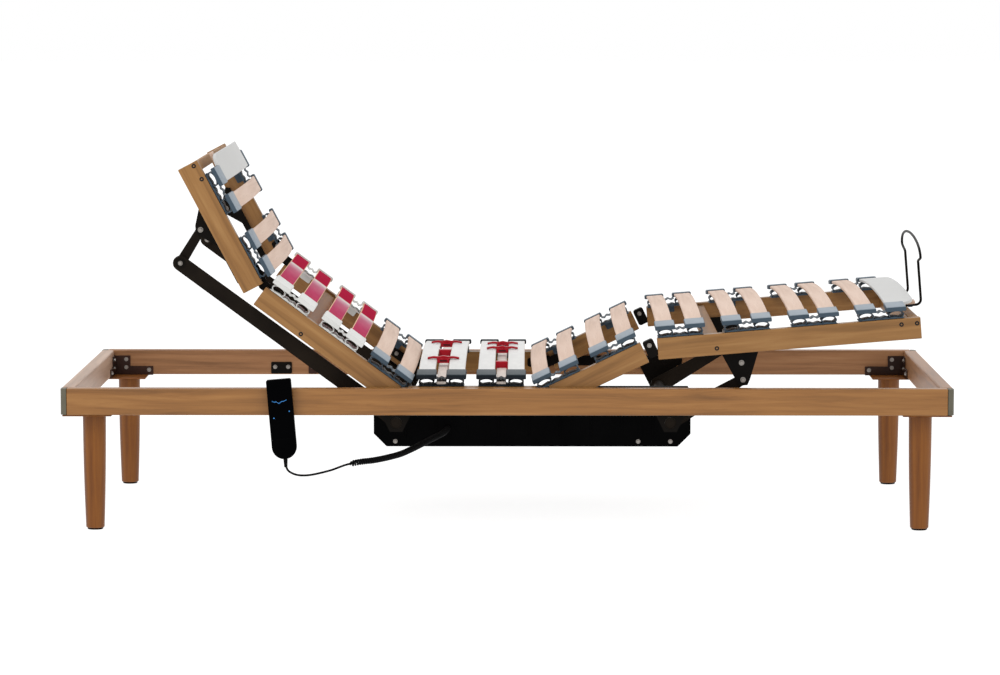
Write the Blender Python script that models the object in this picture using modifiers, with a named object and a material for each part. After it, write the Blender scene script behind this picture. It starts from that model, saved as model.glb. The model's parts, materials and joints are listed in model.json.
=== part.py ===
"""Single adjustable slatted bed base with a twin drive, raised at the back and the knees.

Frame: metres, +Z up, +X towards the foot, -Y the side where the handset hangs. The origin is on
the floor, under the middle of the bounding box. Every section is laid out lying flat, from its
own hinge, and its hinge empty then turns it to the raised pose.
"""
from math import atan2, cos, pi, radians, sin, sqrt

import bmesh
import bpy
from mathutils import Matrix, Vector

# Outer frame
BED_LENGTH = 2.000
BED_WIDTH = 0.900
RAIL_THICK = 0.030
RAIL_TOP = 0.325
RAIL_BOTTOM = 0.265
LEG_INSET = 0.060
LEG_TOP_RADIUS = 0.0255
LEG_FOOT_RADIUS = 0.0205
PLATE_SIZE = 0.110
PLATE_THICK = 0.004
PLATE_MARGIN = 0.004
GAP = 0.0003

# Section frames
SECTION_HALF = 0.412
SECTION_THICK = 0.027
SECTION_DEPTH = 0.048
BOARD_THICK = 0.020
BOARD_DROP = 0.006
SEAT_RANGE = (-0.222, 0.066)
BACK_RANGE = (-0.6306, -0.255)
HEAD_RANGE = (-0.955, -0.6425)
THIGH_RANGE = (0.106, 0.3323)
CALF_RANGE = (0.3654, 0.957)

# Hinges lying flat (x, z), and each section's raised angle about +Y in degrees
BACK_HINGE = (-0.245, 0.300)
HEAD_HINGE = (-0.638, 0.3237)
THIGH_HINGE = (0.0956, 0.300)
CALF_HINGE = (0.3485, 0.3068)
BACK_ANGLE = 36.5
HEAD_ANGLE = 25.75
THIGH_ANGLE = -25.5
CALF_ANGLE = 20.8

# Chassis plates: the bar's height range, and the hangers' half widths at tip, tube and top
CHASSIS_Z = (0.288, 0.312)
HANGER_HALVES = (0.014, 0.024, 0.058)
HANGER_DROP = 0.020

# Mattress hoop
HOOP_HALF = 0.155
HOOP_LOOP_HALF = 0.222
HOOP_BEND = 0.022

# Slat pairs
SLAT_WIDTH = 0.038
SLAT_THICK = 0.008
SLAT_HALF = 0.400
SLAT_BOW = 0.016
SLAT_LIFT = 0.0187
PAIR_PITCH = 0.067
CAP_WIDTH = 0.043
CAP_THICK = 0.0098
CAP_RANGE = (0.3445, 0.4145)
RING_WIDTH = 0.034
RING_RANGE = (0.350, 0.408)
RING_TOP = 0.0225
STRIP_TOP = 0.004
STRIP_LENGTH = 0.104
LOWER_SLAT_WIDTH = 0.022
PAIRS = {
    "head": (-0.8675, -0.706),
    "back": (-0.569, -0.4335, -0.2975),
    "seat": (-0.1476, -0.0132),
    "thigh": (0.1326, 0.2749),
    "calf": (0.419, 0.569, 0.720, 0.8707),
}

# Lifting gear, raised (x, z)
BACK_TUBE = (-0.249, 0.2445)
LEG_TUBE = (0.367, 0.2445)
ARM_TIP = (-0.7346, 0.6007)
LINK_TOP = (-0.6881, 0.6766)
CALF_PIN = (0.531, 0.339)
TUBE_RADIUS = 0.0125
TUBE_HALF = 0.4162
ARM_Y = 0.375
LINK_Y = 0.368
BRACKET_Y = 0.3822
BRACKET_LAP = 0.010
STEEL_THICK = 0.005
CRANK_LENGTH = 0.050
CRANK_THICK = 0.014
PLATE_Y = 0.4181
PLATE_STEEL = 0.003

# Motor housing
HOUSING_X = (-0.3125, 0.426)
HOUSING_HALF = 0.085
HOUSING_Z = (0.150, 0.2445, 0.274)
HOUSING_WALL = 0.004
HOUSING_CHAMFER = 0.030
TUBE_CLEAR = 0.001
SPINDLE_RADIUS = 0.006
SPINDLE_Z = 0.190
SPINDLE_PAST = 0.030
BLOCK_Z = 0.176
BLOCK_BEHIND = 0.026

# Firmness sliders on the seat slats
SLIDER_REACH = 0.0375
SLIDER_HALF = 0.011
SLIDER_BLOCK = 0.0128
SLIDER_THICK = 0.006

# Mattress retainer, handset and cord
WIRE_RADIUS = 0.003
HANDSET_SIZE = (0.056, 0.020, 0.180)
HANDSET_TILT = -4.8
HANDSET_CENTRE = (-0.5025, -0.4632, 0.2585)
LEAD_DIAMETER = 0.0047
COIL_DIAMETER = 0.0145
SHIFT_Y = (BED_WIDTH / 2 - HANDSET_CENTRE[1] + HANDSET_SIZE[1] / 2 - BED_WIDTH) / 2

COLOURS = {
    "wood": ((0.30, 0.13, 0.045), 0.45, 0.0),
    "section_wood": ((0.43, 0.20, 0.055), 0.45, 0.0),
    "slat": ((0.74, 0.56, 0.44), 0.4, 0.0),
    "white_slat": ((0.80, 0.80, 0.78), 0.4, 0.0),
    "steel": ((0.03, 0.02, 0.014), 0.4, 0.7),
    "bronze": ((0.10, 0.03, 0.01), 0.4, 0.6),
    "black": ((0.008, 0.008, 0.009), 0.4, 0.0),
    "gloss_black": ((0.006, 0.006, 0.007), 0.1, 0.0),
    "slider": ((0.40, 0.008, 0.02), 0.35, 0.0),
}


def clear_scene():
    for thing in list(bpy.data.objects):
        bpy.data.objects.remove(thing, do_unlink=True)


def make_collection(name):
    found = bpy.data.collections.get(name) or bpy.data.collections.new(name)
    if found.name not in bpy.context.scene.collection.children:
        bpy.context.scene.collection.children.link(found)
    return found


clear_scene()
PARTS = make_collection("adjustable_bed_base")
CUTTERS = make_collection("bed_cutters")


def material(name):
    found = bpy.data.materials.get(name)
    if found:
        return found
    colour, roughness, metallic = COLOURS[name]
    made = bpy.data.materials.new(name)
    made.use_nodes = True
    shader = made.node_tree.nodes["Principled BSDF"]
    shader.inputs["Base Color"].default_value = (*colour, 1.0)
    shader.inputs["Roughness"].default_value = roughness
    shader.inputs["Metallic"].default_value = metallic
    made.diffuse_color = (*colour, 1.0)
    return made


def empty(name, place, parent=None, turn=0.0):
    """A hinge or reference point; turn is in degrees about Y."""
    made = bpy.data.objects.new(name, None)
    made.empty_display_size = 0.05
    made.location = place
    made.rotation_euler = (0.0, radians(turn), 0.0)
    made.parent = parent
    PARTS.objects.link(made)
    return made


def add_object(name, mesh, parent, colour, place=(0, 0, 0), turn=0.0, smooth=False):
    made = bpy.data.objects.new(name, mesh)
    made.location = place
    made.rotation_euler = (0.0, radians(turn), 0.0)
    made.parent = parent
    PARTS.objects.link(made)
    if not mesh.materials:
        mesh.materials.append(material(colour))
    if smooth:
        mesh.shade_smooth()
        mesh.set_sharp_from_angle(angle=radians(35))
    return made


def add_bevel(thing, width, segments=1):
    bevel = thing.modifiers.new("edges", "BEVEL")
    bevel.width = width
    bevel.segments = segments
    bevel.limit_method = "ANGLE"
    bevel.angle_limit = radians(40)


def box_mesh(name, low, high):
    """A box between two corners."""
    low, high = Vector(low), Vector(high)
    grid = bmesh.new()
    bmesh.ops.create_cube(grid, size=1.0)
    bmesh.ops.scale(grid, vec=high - low, verts=grid.verts)
    bmesh.ops.translate(grid, vec=(low + high) / 2, verts=grid.verts)
    mesh = bpy.data.meshes.new(name)
    grid.to_mesh(mesh)
    grid.free()
    return mesh


def rod_mesh(name, radius, length, place=(0, 0, 0), axis="Y", sides=20, end_radius=None):
    """A round bar centred on place; with end_radius, a cone frustum whose first end is radius."""
    turns = {"X": Matrix.Rotation(pi / 2, 4, "Y"), "Y": Matrix.Rotation(pi / 2, 4, "X"),
             "Z": Matrix.Identity(4)}
    grid = bmesh.new()
    bmesh.ops.create_cone(grid, cap_ends=True, segments=sides, radius1=radius,
                          radius2=radius if end_radius is None else end_radius, depth=length)
    bmesh.ops.transform(grid, matrix=Matrix.Translation(place) @ turns[axis], verts=grid.verts)
    mesh = bpy.data.meshes.new(name)
    grid.to_mesh(mesh)
    grid.free()
    return mesh


def combine(name, first, others, operation="UNION"):
    """One mesh: the first, joined with or cut by each of the others."""
    base = bpy.data.objects.new(name + "_base", first)
    CUTTERS.objects.link(base)
    helpers = []
    for number, other in enumerate(others):
        helper = bpy.data.objects.new(f"{name}_tool_{number}", other)
        helper.hide_render = True
        helper.display_type = "WIRE"
        CUTTERS.objects.link(helper)
        helpers.append(helper)
        boolean = base.modifiers.new(f"step_{number}", "BOOLEAN")
        boolean.operation = operation
        boolean.object = helper
        boolean.solver = "EXACT"
    bpy.context.view_layer.update()
    result = bpy.data.meshes.new_from_object(base.evaluated_get(bpy.context.evaluated_depsgraph_get()))
    result.name = name
    for thing in helpers + [base]:
        bpy.data.objects.remove(thing, do_unlink=True)
    return result


def link_outline(start, end, radius_start, radius_end, steps=10):
    """Outline of a bar with round ends between two (x, z) points."""
    along = atan2(end[1] - start[1], end[0] - start[0])
    points = []
    for centre, radius, first in ((end, radius_end, -pi / 2), (start, radius_start, pi / 2)):
        for step in range(steps + 1):
            angle = along + first + pi * step / steps
            points.append((centre[0] + radius * cos(angle), centre[1] + radius * sin(angle)))
    return points


def plate_mesh(name, outline, y_middle, thick):
    """A flat plate: an (x, z) outline extruded along Y, as a closed mesh."""
    curve = bpy.data.curves.new(name, "CURVE")
    curve.dimensions = "2D"
    curve.fill_mode = "BOTH"
    curve.extrude = thick / 2
    spline = curve.splines.new("POLY")
    spline.points.add(len(outline) - 1)
    for point, (x, z) in zip(spline.points, outline):
        point.co = (x, z, 0.0, 1.0)
    spline.use_cyclic_u = True
    holder = bpy.data.objects.new(name + "_outline", curve)
    CUTTERS.objects.link(holder)
    bpy.context.view_layer.update()
    mesh = bpy.data.meshes.new_from_object(holder.evaluated_get(bpy.context.evaluated_depsgraph_get()))
    bpy.data.objects.remove(holder, do_unlink=True)
    return closed_mesh(mesh, Matrix.Translation((0, y_middle, 0)) @ Matrix.Rotation(pi / 2, 4, "X"))


def closed_mesh(mesh, matrix):
    """Weld a converted curve's caps and turn its faces outward."""
    grid = bmesh.new()
    grid.from_mesh(mesh)
    bmesh.ops.remove_doubles(grid, verts=grid.verts, dist=0.00001)
    bmesh.ops.transform(grid, matrix=matrix, verts=grid.verts)
    bmesh.ops.recalc_face_normals(grid, faces=grid.faces)
    grid.to_mesh(mesh)
    grid.free()
    mesh.materials.clear()
    return mesh


def wire_object(name, points, radius, parent, colour, sides_level=2):
    """A wire or cord: a POLY spline with filled caps."""
    curve = bpy.data.curves.new(name, "CURVE")
    curve.dimensions = "3D"
    curve.bevel_depth = radius
    curve.bevel_resolution = sides_level
    curve.use_fill_caps = True
    spline = curve.splines.new("POLY")
    spline.points.add(len(points) - 1)
    for point, spot in zip(spline.points, points):
        point.co = (*spot, 1.0)
    curve.materials.append(material(colour))
    made = bpy.data.objects.new(name, curve)
    made.parent = parent
    PARTS.objects.link(made)
    return made


def smooth_route(points, steps):
    """A Catmull-Rom curve through the points, with a number of steps between neighbours."""
    route = [Vector(point) for point in points]
    ends = [2 * route[0] - route[1]] + route + [2 * route[-1] - route[-2]]
    curve = []
    for a, b, c, d in zip(ends, ends[1:], ends[2:], ends[3:]):
        for step in range(steps):
            t = step / steps
            curve.append(0.5 * (2 * b + (c - a) * t + (2 * a - 5 * b + 4 * c - d) * t ** 2
                                + (3 * b - a - 3 * c + d) * t ** 3))
    return curve + [route[-1]]


# Outer frame

def side_rail(name, side, root):
    outer = side * BED_WIDTH / 2
    inner = side * (BED_WIDTH / 2 - RAIL_THICK)
    mesh = box_mesh(name, (-BED_LENGTH / 2, min(outer, inner), RAIL_BOTTOM),
                    (BED_LENGTH / 2, max(outer, inner), RAIL_TOP))
    add_bevel(add_object(name, mesh, root, "wood"), 0.004, 2)


def end_rail(name, side, root):
    half_span = BED_WIDTH / 2 - RAIL_THICK - GAP
    outer = side * BED_LENGTH / 2
    inner = side * (BED_LENGTH / 2 - RAIL_THICK)
    mesh = box_mesh(name, (min(outer, inner), -half_span, RAIL_BOTTOM),
                    (max(outer, inner), half_span, RAIL_TOP))
    add_bevel(add_object(name, mesh, root, "wood"), 0.004, 2)


def leg(name, side_x, side_y, root):
    """A turned leg with the corner plate that is screwed under the rails."""
    x = side_x * (BED_LENGTH / 2 - LEG_INSET - 0.010)
    y = side_y * (BED_WIDTH / 2 - LEG_INSET)
    top = RAIL_BOTTOM - GAP
    height = top - PLATE_THICK / 2
    turned = rod_mesh(name + "_turned", LEG_FOOT_RADIUS, height, (x, y, height / 2), "Z", 28,
                      LEG_TOP_RADIUS)
    far_x = side_x * (BED_LENGTH / 2 - PLATE_MARGIN)
    far_y = side_y * (BED_WIDTH / 2 - PLATE_MARGIN)
    near_x = far_x - side_x * PLATE_SIZE
    near_y = far_y - side_y * PLATE_SIZE
    plate = box_mesh(name + "_plate", (min(far_x, near_x), min(far_y, near_y), top - PLATE_THICK),
                     (max(far_x, near_x), max(far_y, near_y), top))
    add_object(name, combine(name, turned, [plate]), root, "section_wood", smooth=True)


def bearing_outline(tube):
    """A V-shaped hanger plate around a cross tube."""
    x, z = tube
    tip, waist, shoulder = HANGER_HALVES
    return [(x - tip, z - HANGER_DROP), (x + tip, z - HANGER_DROP), (x + waist, z),
            (x + shoulder, CHASSIS_Z[1]), (x - shoulder, CHASSIS_Z[1]), (x - waist, z)]


def chassis_side(name, side, root):
    """The seat's steel side bearer: hinge bar, and the two hangers that carry the cross tubes."""
    y = side * PLATE_Y
    reach = HANGER_HALVES[2]
    bar = box_mesh(name + "_bar", (BACK_TUBE[0] - reach, y - PLATE_STEEL / 2, CHASSIS_Z[0]),
                   (LEG_TUBE[0] + reach, y + PLATE_STEEL / 2, CHASSIS_Z[1]))
    hangers = []
    for number, tube in enumerate((BACK_TUBE, LEG_TUBE)):
        plate = plate_mesh(f"{name}_hanger_{number}", bearing_outline(tube), y, PLATE_STEEL)
        hole = rod_mesh(f"{name}_hole_{number}", TUBE_RADIUS + TUBE_CLEAR, 0.03, (tube[0], y, tube[1]))
        hangers.append(combine(f"{name}_drilled_{number}", plate, [hole], "DIFFERENCE"))
    add_object(name, combine(name, bar, hangers), root, "steel")


def seat_rail(name, side, root):
    section_rail(name, side, SEAT_RANGE, (0.0, 0.0), root)


# Section frames and slats

def section_rail(name, side, span, hinge, parent):
    outer = side * SECTION_HALF
    inner = side * (SECTION_HALF - SECTION_THICK)
    mesh = box_mesh(name, (span[0] - hinge[0], min(outer, inner), RAIL_TOP - SECTION_DEPTH - hinge[1]),
                    (span[1] - hinge[0], max(outer, inner), RAIL_TOP - hinge[1]))
    add_bevel(add_object(name, mesh, parent, "section_wood"), 0.003, 1)


def cross_board(name, x_middle, width, hinge, parent, drop=BOARD_DROP, thick=BOARD_THICK):
    half_span = SECTION_HALF - SECTION_THICK - GAP
    top = RAIL_TOP - drop - hinge[1]
    mesh = box_mesh(name, (x_middle - width / 2 - hinge[0], -half_span, top - thick),
                    (x_middle + width / 2 - hinge[0], half_span, top))
    add_bevel(add_object(name, mesh, parent, "section_wood"), 0.002, 1)


def bowed_bar(name, x_middle, width, y_range, z_low, thick, cuts):
    """A bar across the bed that follows the slats' shallow arch."""
    mesh = box_mesh(name, (x_middle - width / 2, y_range[0], z_low),
                    (x_middle + width / 2, y_range[1], z_low + thick))
    grid = bmesh.new()
    grid.from_mesh(mesh)
    for cut in range(1, cuts):
        y = y_range[0] + (y_range[1] - y_range[0]) * cut / cuts
        bmesh.ops.bisect_plane(grid, geom=grid.verts[:] + grid.edges[:] + grid.faces[:],
                               plane_co=(0, y, 0), plane_no=(0, 1, 0))
    for vertex in grid.verts:
        vertex.co.z += SLAT_BOW * (1 - (vertex.co.y / SLAT_HALF) ** 2)
    grid.to_mesh(mesh)
    grid.free()
    return mesh


def holder_meshes(side):
    """One twin rubber holder: foot strip, two ring blocks and two caps."""
    y_low, y_high = sorted((side * RING_RANGE[0], side * RING_RANGE[1]))
    cap_range = sorted((side * CAP_RANGE[0], side * CAP_RANGE[1]))
    half = STRIP_LENGTH / 2
    meshes = [box_mesh("strip", (-half, y_low, GAP), (half, y_high, STRIP_TOP))]
    for x in (-PAIR_PITCH / 2, PAIR_PITCH / 2):
        meshes.append(box_mesh("ring", (x - RING_WIDTH / 2, y_low + 0.001, STRIP_TOP - 0.001),
                               (x + RING_WIDTH / 2, y_high - 0.001, RING_TOP)))
        meshes.append(bowed_bar("cap", x, CAP_WIDTH, cap_range, SLAT_LIFT - 0.0009, CAP_THICK, 1))
    return meshes


def pair_mesh(name, lower_slat):
    """Two slats with their holders, and for the seat a narrow slat below and between them."""
    slats = [bowed_bar("slat", x, SLAT_WIDTH, (-SLAT_HALF, SLAT_HALF), SLAT_LIFT, SLAT_THICK, 8)
             for x in (-PAIR_PITCH / 2, PAIR_PITCH / 2)]
    others = holder_meshes(-1) + holder_meshes(1)
    if lower_slat:
        low = STRIP_TOP - 0.001 - SLAT_BOW * (1 - (RING_RANGE[0] / SLAT_HALF) ** 2)
        others.append(bowed_bar("lower", 0.0, LOWER_SLAT_WIDTH, (-0.385, 0.385), low, 0.007, 8))
    return combine(name, slats[0], others + slats[1:])


def slat_pairs(section, hinge, parent, mesh, colour):
    for number, x in enumerate(PAIRS[section], 1):
        add_object(f"{section}_slat_pair_{number}", mesh, parent, colour,
                   (x - hinge[0], 0.0, RAIL_TOP - hinge[1]))


# Lifting gear

def raised(point, tube):
    """A raised (x, z) point measured from its cross tube."""
    return (point[0] - tube[0], point[1] - tube[1])


def lift_shaft(name, tip, depth, tip_radius, parent):
    """A cross tube with a welded arm at each end and the crank that the drive pushes."""
    tube = rod_mesh(name + "_tube", TUBE_RADIUS, 2 * TUBE_HALF, sides=24)
    arms = [plate_mesh(f"{name}_arm_{side}", link_outline((0, 0), tip, depth, tip_radius),
                       side * ARM_Y, STEEL_THICK) for side in (-1, 1)]
    crank = plate_mesh(name + "_crank", link_outline((0, 0), (0, -CRANK_LENGTH), 0.018, 0.009), 0.0,
                       CRANK_THICK)
    add_object(name, combine(name, tube, arms + [crank]), parent, "steel", smooth=True)


def section_point(point, hinge, angle):
    """A raised (x, z) point in the flat frame of a section whose raised hinge is given."""
    dx, dz = point[0] - hinge[0], point[1] - hinge[1]
    turn = radians(angle)
    return (dx * cos(turn) - dz * sin(turn), dx * sin(turn) + dz * cos(turn))


def raised_hinge(flat, parent_flat, parent_raised, angle):
    """Where a section's hinge lies once its parent section is raised about +Y by angle."""
    dx, dz = flat[0] - parent_flat[0], flat[1] - parent_flat[1]
    turn = radians(angle)
    return (parent_raised[0] + dx * cos(turn) + dz * sin(turn),
            parent_raised[1] - dx * sin(turn) + dz * cos(turn))


def head_bracket(name, side, parent):
    """The plate on the head section that the lifting link pulls on."""
    hinge = raised_hinge(HEAD_HINGE, BACK_HINGE, BACK_HINGE, BACK_ANGLE)
    pin = section_point(LINK_TOP, hinge, BACK_ANGLE + HEAD_ANGLE)
    under = RAIL_TOP - HEAD_HINGE[1] - SECTION_DEPTH
    top = under + BRACKET_LAP
    outline = [(pin[0] - 0.040, top), (pin[0] - 0.046, under), (pin[0] - 0.014, pin[1] - 0.006),
               (pin[0], pin[1] - 0.012), (pin[0] + 0.012, pin[1] - 0.008),
               (pin[0] + 0.050, under - 0.004), (-0.030, under - 0.004), (-0.030, top)]
    mesh = plate_mesh(name, outline[::-1], side * BRACKET_Y, STEEL_THICK - GAP)
    add_object(name, mesh, parent, "steel")


def calf_bracket(name, side, parent):
    """The hanger plate under the calf rail that the leg lever lifts."""
    hinge = raised_hinge(CALF_HINGE, THIGH_HINGE, THIGH_HINGE, THIGH_ANGLE)
    pin = section_point(CALF_PIN, hinge, THIGH_ANGLE + CALF_ANGLE)
    under = RAIL_TOP - CALF_HINGE[1] - SECTION_DEPTH
    top = under + BRACKET_LAP
    outline = [(pin[0] - 0.044, top), (pin[0] - 0.044, under), (pin[0] - 0.016, pin[1]),
               (pin[0] - 0.009, pin[1] - 0.013), (pin[0] + 0.009, pin[1] - 0.013),
               (pin[0] + 0.016, pin[1]), (pin[0] + 0.040, under), (pin[0] + 0.040, top)]
    add_object(name, plate_mesh(name, outline, side * BRACKET_Y, STEEL_THICK - GAP), parent, "steel")


def head_link(name, side, parent):
    """The short link from the arm's tip up to the head bracket, hanging on its upper pin."""
    tip = (ARM_TIP[0] - LINK_TOP[0], ARM_TIP[1] - LINK_TOP[1])
    mesh = plate_mesh(name, link_outline((0, 0), tip, 0.010, 0.012), side * LINK_Y, STEEL_THICK)
    add_object(name, mesh, parent, "steel")


# Motor housing and what it holds

def housing_outline(wall, top):
    """The tray's side outline with chamfered lower corners, drawn in by the wall given."""
    x0, x1, bottom = HOUSING_X[0] + wall, HOUSING_X[1] - wall, HOUSING_Z[0] + wall
    cut = HOUSING_CHAMFER - wall * (2 - sqrt(2))
    return [(x0 + cut, bottom), (x1 - cut, bottom), (x1, bottom + cut), (x1, top), (x0, top),
            (x0, bottom + cut)]


def tube_holes(name):
    return [rod_mesh(f"{name}_{number}", TUBE_RADIUS + TUBE_CLEAR, 0.5, (x, 0, z))
            for number, (x, z) in enumerate((BACK_TUBE, LEG_TUBE))]


def housing_tray(name, root):
    shell = plate_mesh(name, housing_outline(0.0, HOUSING_Z[1]), 0.0, 2 * HOUSING_HALF)
    hollow = plate_mesh(name + "_hollow", housing_outline(HOUSING_WALL, HOUSING_Z[1] + 0.01), 0.0,
                        2 * (HOUSING_HALF - HOUSING_WALL))
    mesh = combine(name, shell, [hollow] + tube_holes(name + "_tube"), "DIFFERENCE")
    add_object(name, mesh, root, "black")


def housing_lid(name, root):
    low, high = HOUSING_Z[1] + GAP, HOUSING_Z[2]
    shell = box_mesh(name, (HOUSING_X[0], -HOUSING_HALF, low), (HOUSING_X[1], HOUSING_HALF, high))
    hollow = box_mesh(name + "_hollow", (HOUSING_X[0] + HOUSING_WALL, HOUSING_WALL - HOUSING_HALF,
                                         low - 0.01),
                      (HOUSING_X[1] - HOUSING_WALL, HOUSING_HALF - HOUSING_WALL, high - HOUSING_WALL))
    mesh = combine(name, shell, [hollow] + tube_holes(name + "_tube"), "DIFFERENCE")
    add_object(name, mesh, root, "black")


def spindle_drive(name, tube, side, root):
    """A gear motor with its screw spindle, which runs under the cross tube's crank."""
    motor_x = tube[0] - side * 0.215
    gear_x = motor_x + side * 0.036
    can = rod_mesh(name + "_can", 0.0215, 0.080, (motor_x - side * 0.020, 0.040, SPINDLE_Z), "X")
    gear = box_mesh(name, (gear_x - 0.026, -0.020, SPINDLE_Z - 0.024),
                    (gear_x + 0.026, 0.062, SPINDLE_Z + 0.024))
    end = tube[0] + side * SPINDLE_PAST
    spindle = rod_mesh(name + "_spindle", SPINDLE_RADIUS, abs(end - gear_x),
                       ((gear_x + end) / 2, 0, BLOCK_Z), "X", 16)
    add_object(name, combine(name, gear, [can, spindle]), root, "black", smooth=True)


def push_block(name, parent):
    """A block bored for the spindle, modelled about its own centre."""
    body = box_mesh(name, (-0.012, -0.020, -0.014), (0.012, 0.020, 0.016))
    bore = rod_mesh(name + "_bore", SPINDLE_RADIUS + 0.0005, 0.06, axis="X", sides=16)
    add_object(name, combine(name, body, [bore], "DIFFERENCE"), parent, "slider")


# Small fittings

def retainer_route(foot_x, wire_x, foot_z):
    """The mattress hoop: two feet, two uprights and a rounded, slightly wider loop."""
    half, wide, bend = HOOP_HALF, HOOP_LOOP_HALF, HOOP_BEND
    loop_low, loop_high = foot_z + 0.112, foot_z + 0.155
    right = [(foot_x, half, foot_z), (wire_x - 0.012, half, foot_z), (wire_x - 0.003, half, foot_z + 0.004),
             (wire_x, half, foot_z + 0.014), (wire_x, half, loop_low - 0.014),
             (wire_x, half + 0.005, loop_low - 0.004), (wire_x, half + 0.016, loop_low)]
    centre_y, centre_z = wide - bend, (loop_low + loop_high) / 2
    for step in range(9):
        angle = -pi / 2 + pi * step / 8
        right.append((wire_x, centre_y + bend * cos(angle), centre_z + bend * sin(angle)))
    return right + [(x, -y, z) for x, y, z in reversed(right)]


def mattress_retainer(name, parent, hinge):
    top = RAIL_TOP - hinge[1]
    route = retainer_route(0.600, 0.636, top + WIRE_RADIUS + 0.0015)
    wire_object(name, route, WIRE_RADIUS, parent, "steel")


def handset(name, root):
    width, thick, height = HANDSET_SIZE
    mesh = box_mesh(name, (-width / 2, -thick / 2, -height / 2), (width / 2, thick / 2, height / 2))
    made = add_object(name, mesh, root, "gloss_black", HANDSET_CENTRE, HANDSET_TILT)
    add_bevel(made, 0.006, 2)


def handset_hook(name, root):
    """The clip that hangs the handset on the rail: a back plate with a lip over the rail's top."""
    x = HANDSET_CENTRE[0] - 0.006
    outer = -BED_WIDTH / 2 - GAP
    plate = box_mesh(name, (x - 0.015, outer - 0.0026, 0.290), (x + 0.015, outer, RAIL_TOP + 0.003))
    lip = box_mesh(name + "_lip", (x - 0.015, outer - 0.0026, RAIL_TOP + GAP),
                   (x + 0.015, -BED_WIDTH / 2 + RAIL_THICK - 0.004, RAIL_TOP + 0.003))
    add_object(name, combine(name, plate, [lip]), root, "black")


LEAD_ROUTE = (
    (-0.4950, -0.4632, 0.1640), (-0.4945, -0.4632, 0.1560), (-0.4890, -0.4630, 0.1420),
    (-0.4720, -0.4620, 0.1330), (-0.4520, -0.4600, 0.1310), (-0.4300, -0.4580, 0.1335),
    (-0.3960, -0.4550, 0.1415), (-0.3740, -0.4528, 0.1492), (-0.3640, -0.4505, 0.1527),
    (-0.3540, -0.4480, 0.1552),
)
COIL_ROUTE = (
    (-0.3535, -0.4479, 0.1553), (-0.3280, -0.4405, 0.1592), (-0.2980, -0.4210, 0.1605),
    (-0.2680, -0.3900, 0.1630), (-0.2420, -0.3550, 0.1660), (-0.2200, -0.3150, 0.1710),
    (-0.2000, -0.2700, 0.1760), (-0.1750, -0.2150, 0.1830), (-0.1500, -0.1600, 0.1900),
    (-0.1420, -0.1200, 0.1930), (-0.1400, -0.0860, 0.1940),
)


def handset_cord(root):
    lead = smooth_route(LEAD_ROUTE, 3)
    wire_object("handset_lead", lead, LEAD_DIAMETER / 2, root, "black")
    coil = smooth_route(COIL_ROUTE, 2)
    wire_object("handset_coil", coil, COIL_DIAMETER / 2, root, "black")


def slider(name, x, y, root):
    """A firmness slider: a block under two arms that clip over both seat slats."""
    z = RAIL_TOP + SLAT_LIFT + SLAT_BOW * (1 - (y / SLAT_HALF) ** 2)
    slide = empty(name + "_axis", (x, y, z), root)
    high = SLAT_THICK + 0.0012
    plate = box_mesh(name, (-SLIDER_REACH, -SLIDER_HALF, high),
                     (SLIDER_REACH, SLIDER_HALF, high + SLIDER_THICK))
    block = box_mesh(name + "_block", (-SLIDER_BLOCK, -SLIDER_HALF, -0.0005),
                     (SLIDER_BLOCK, SLIDER_HALF, high + 0.001))
    add_object(name, combine(name, plate, [block]), slide, "slider")


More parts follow.
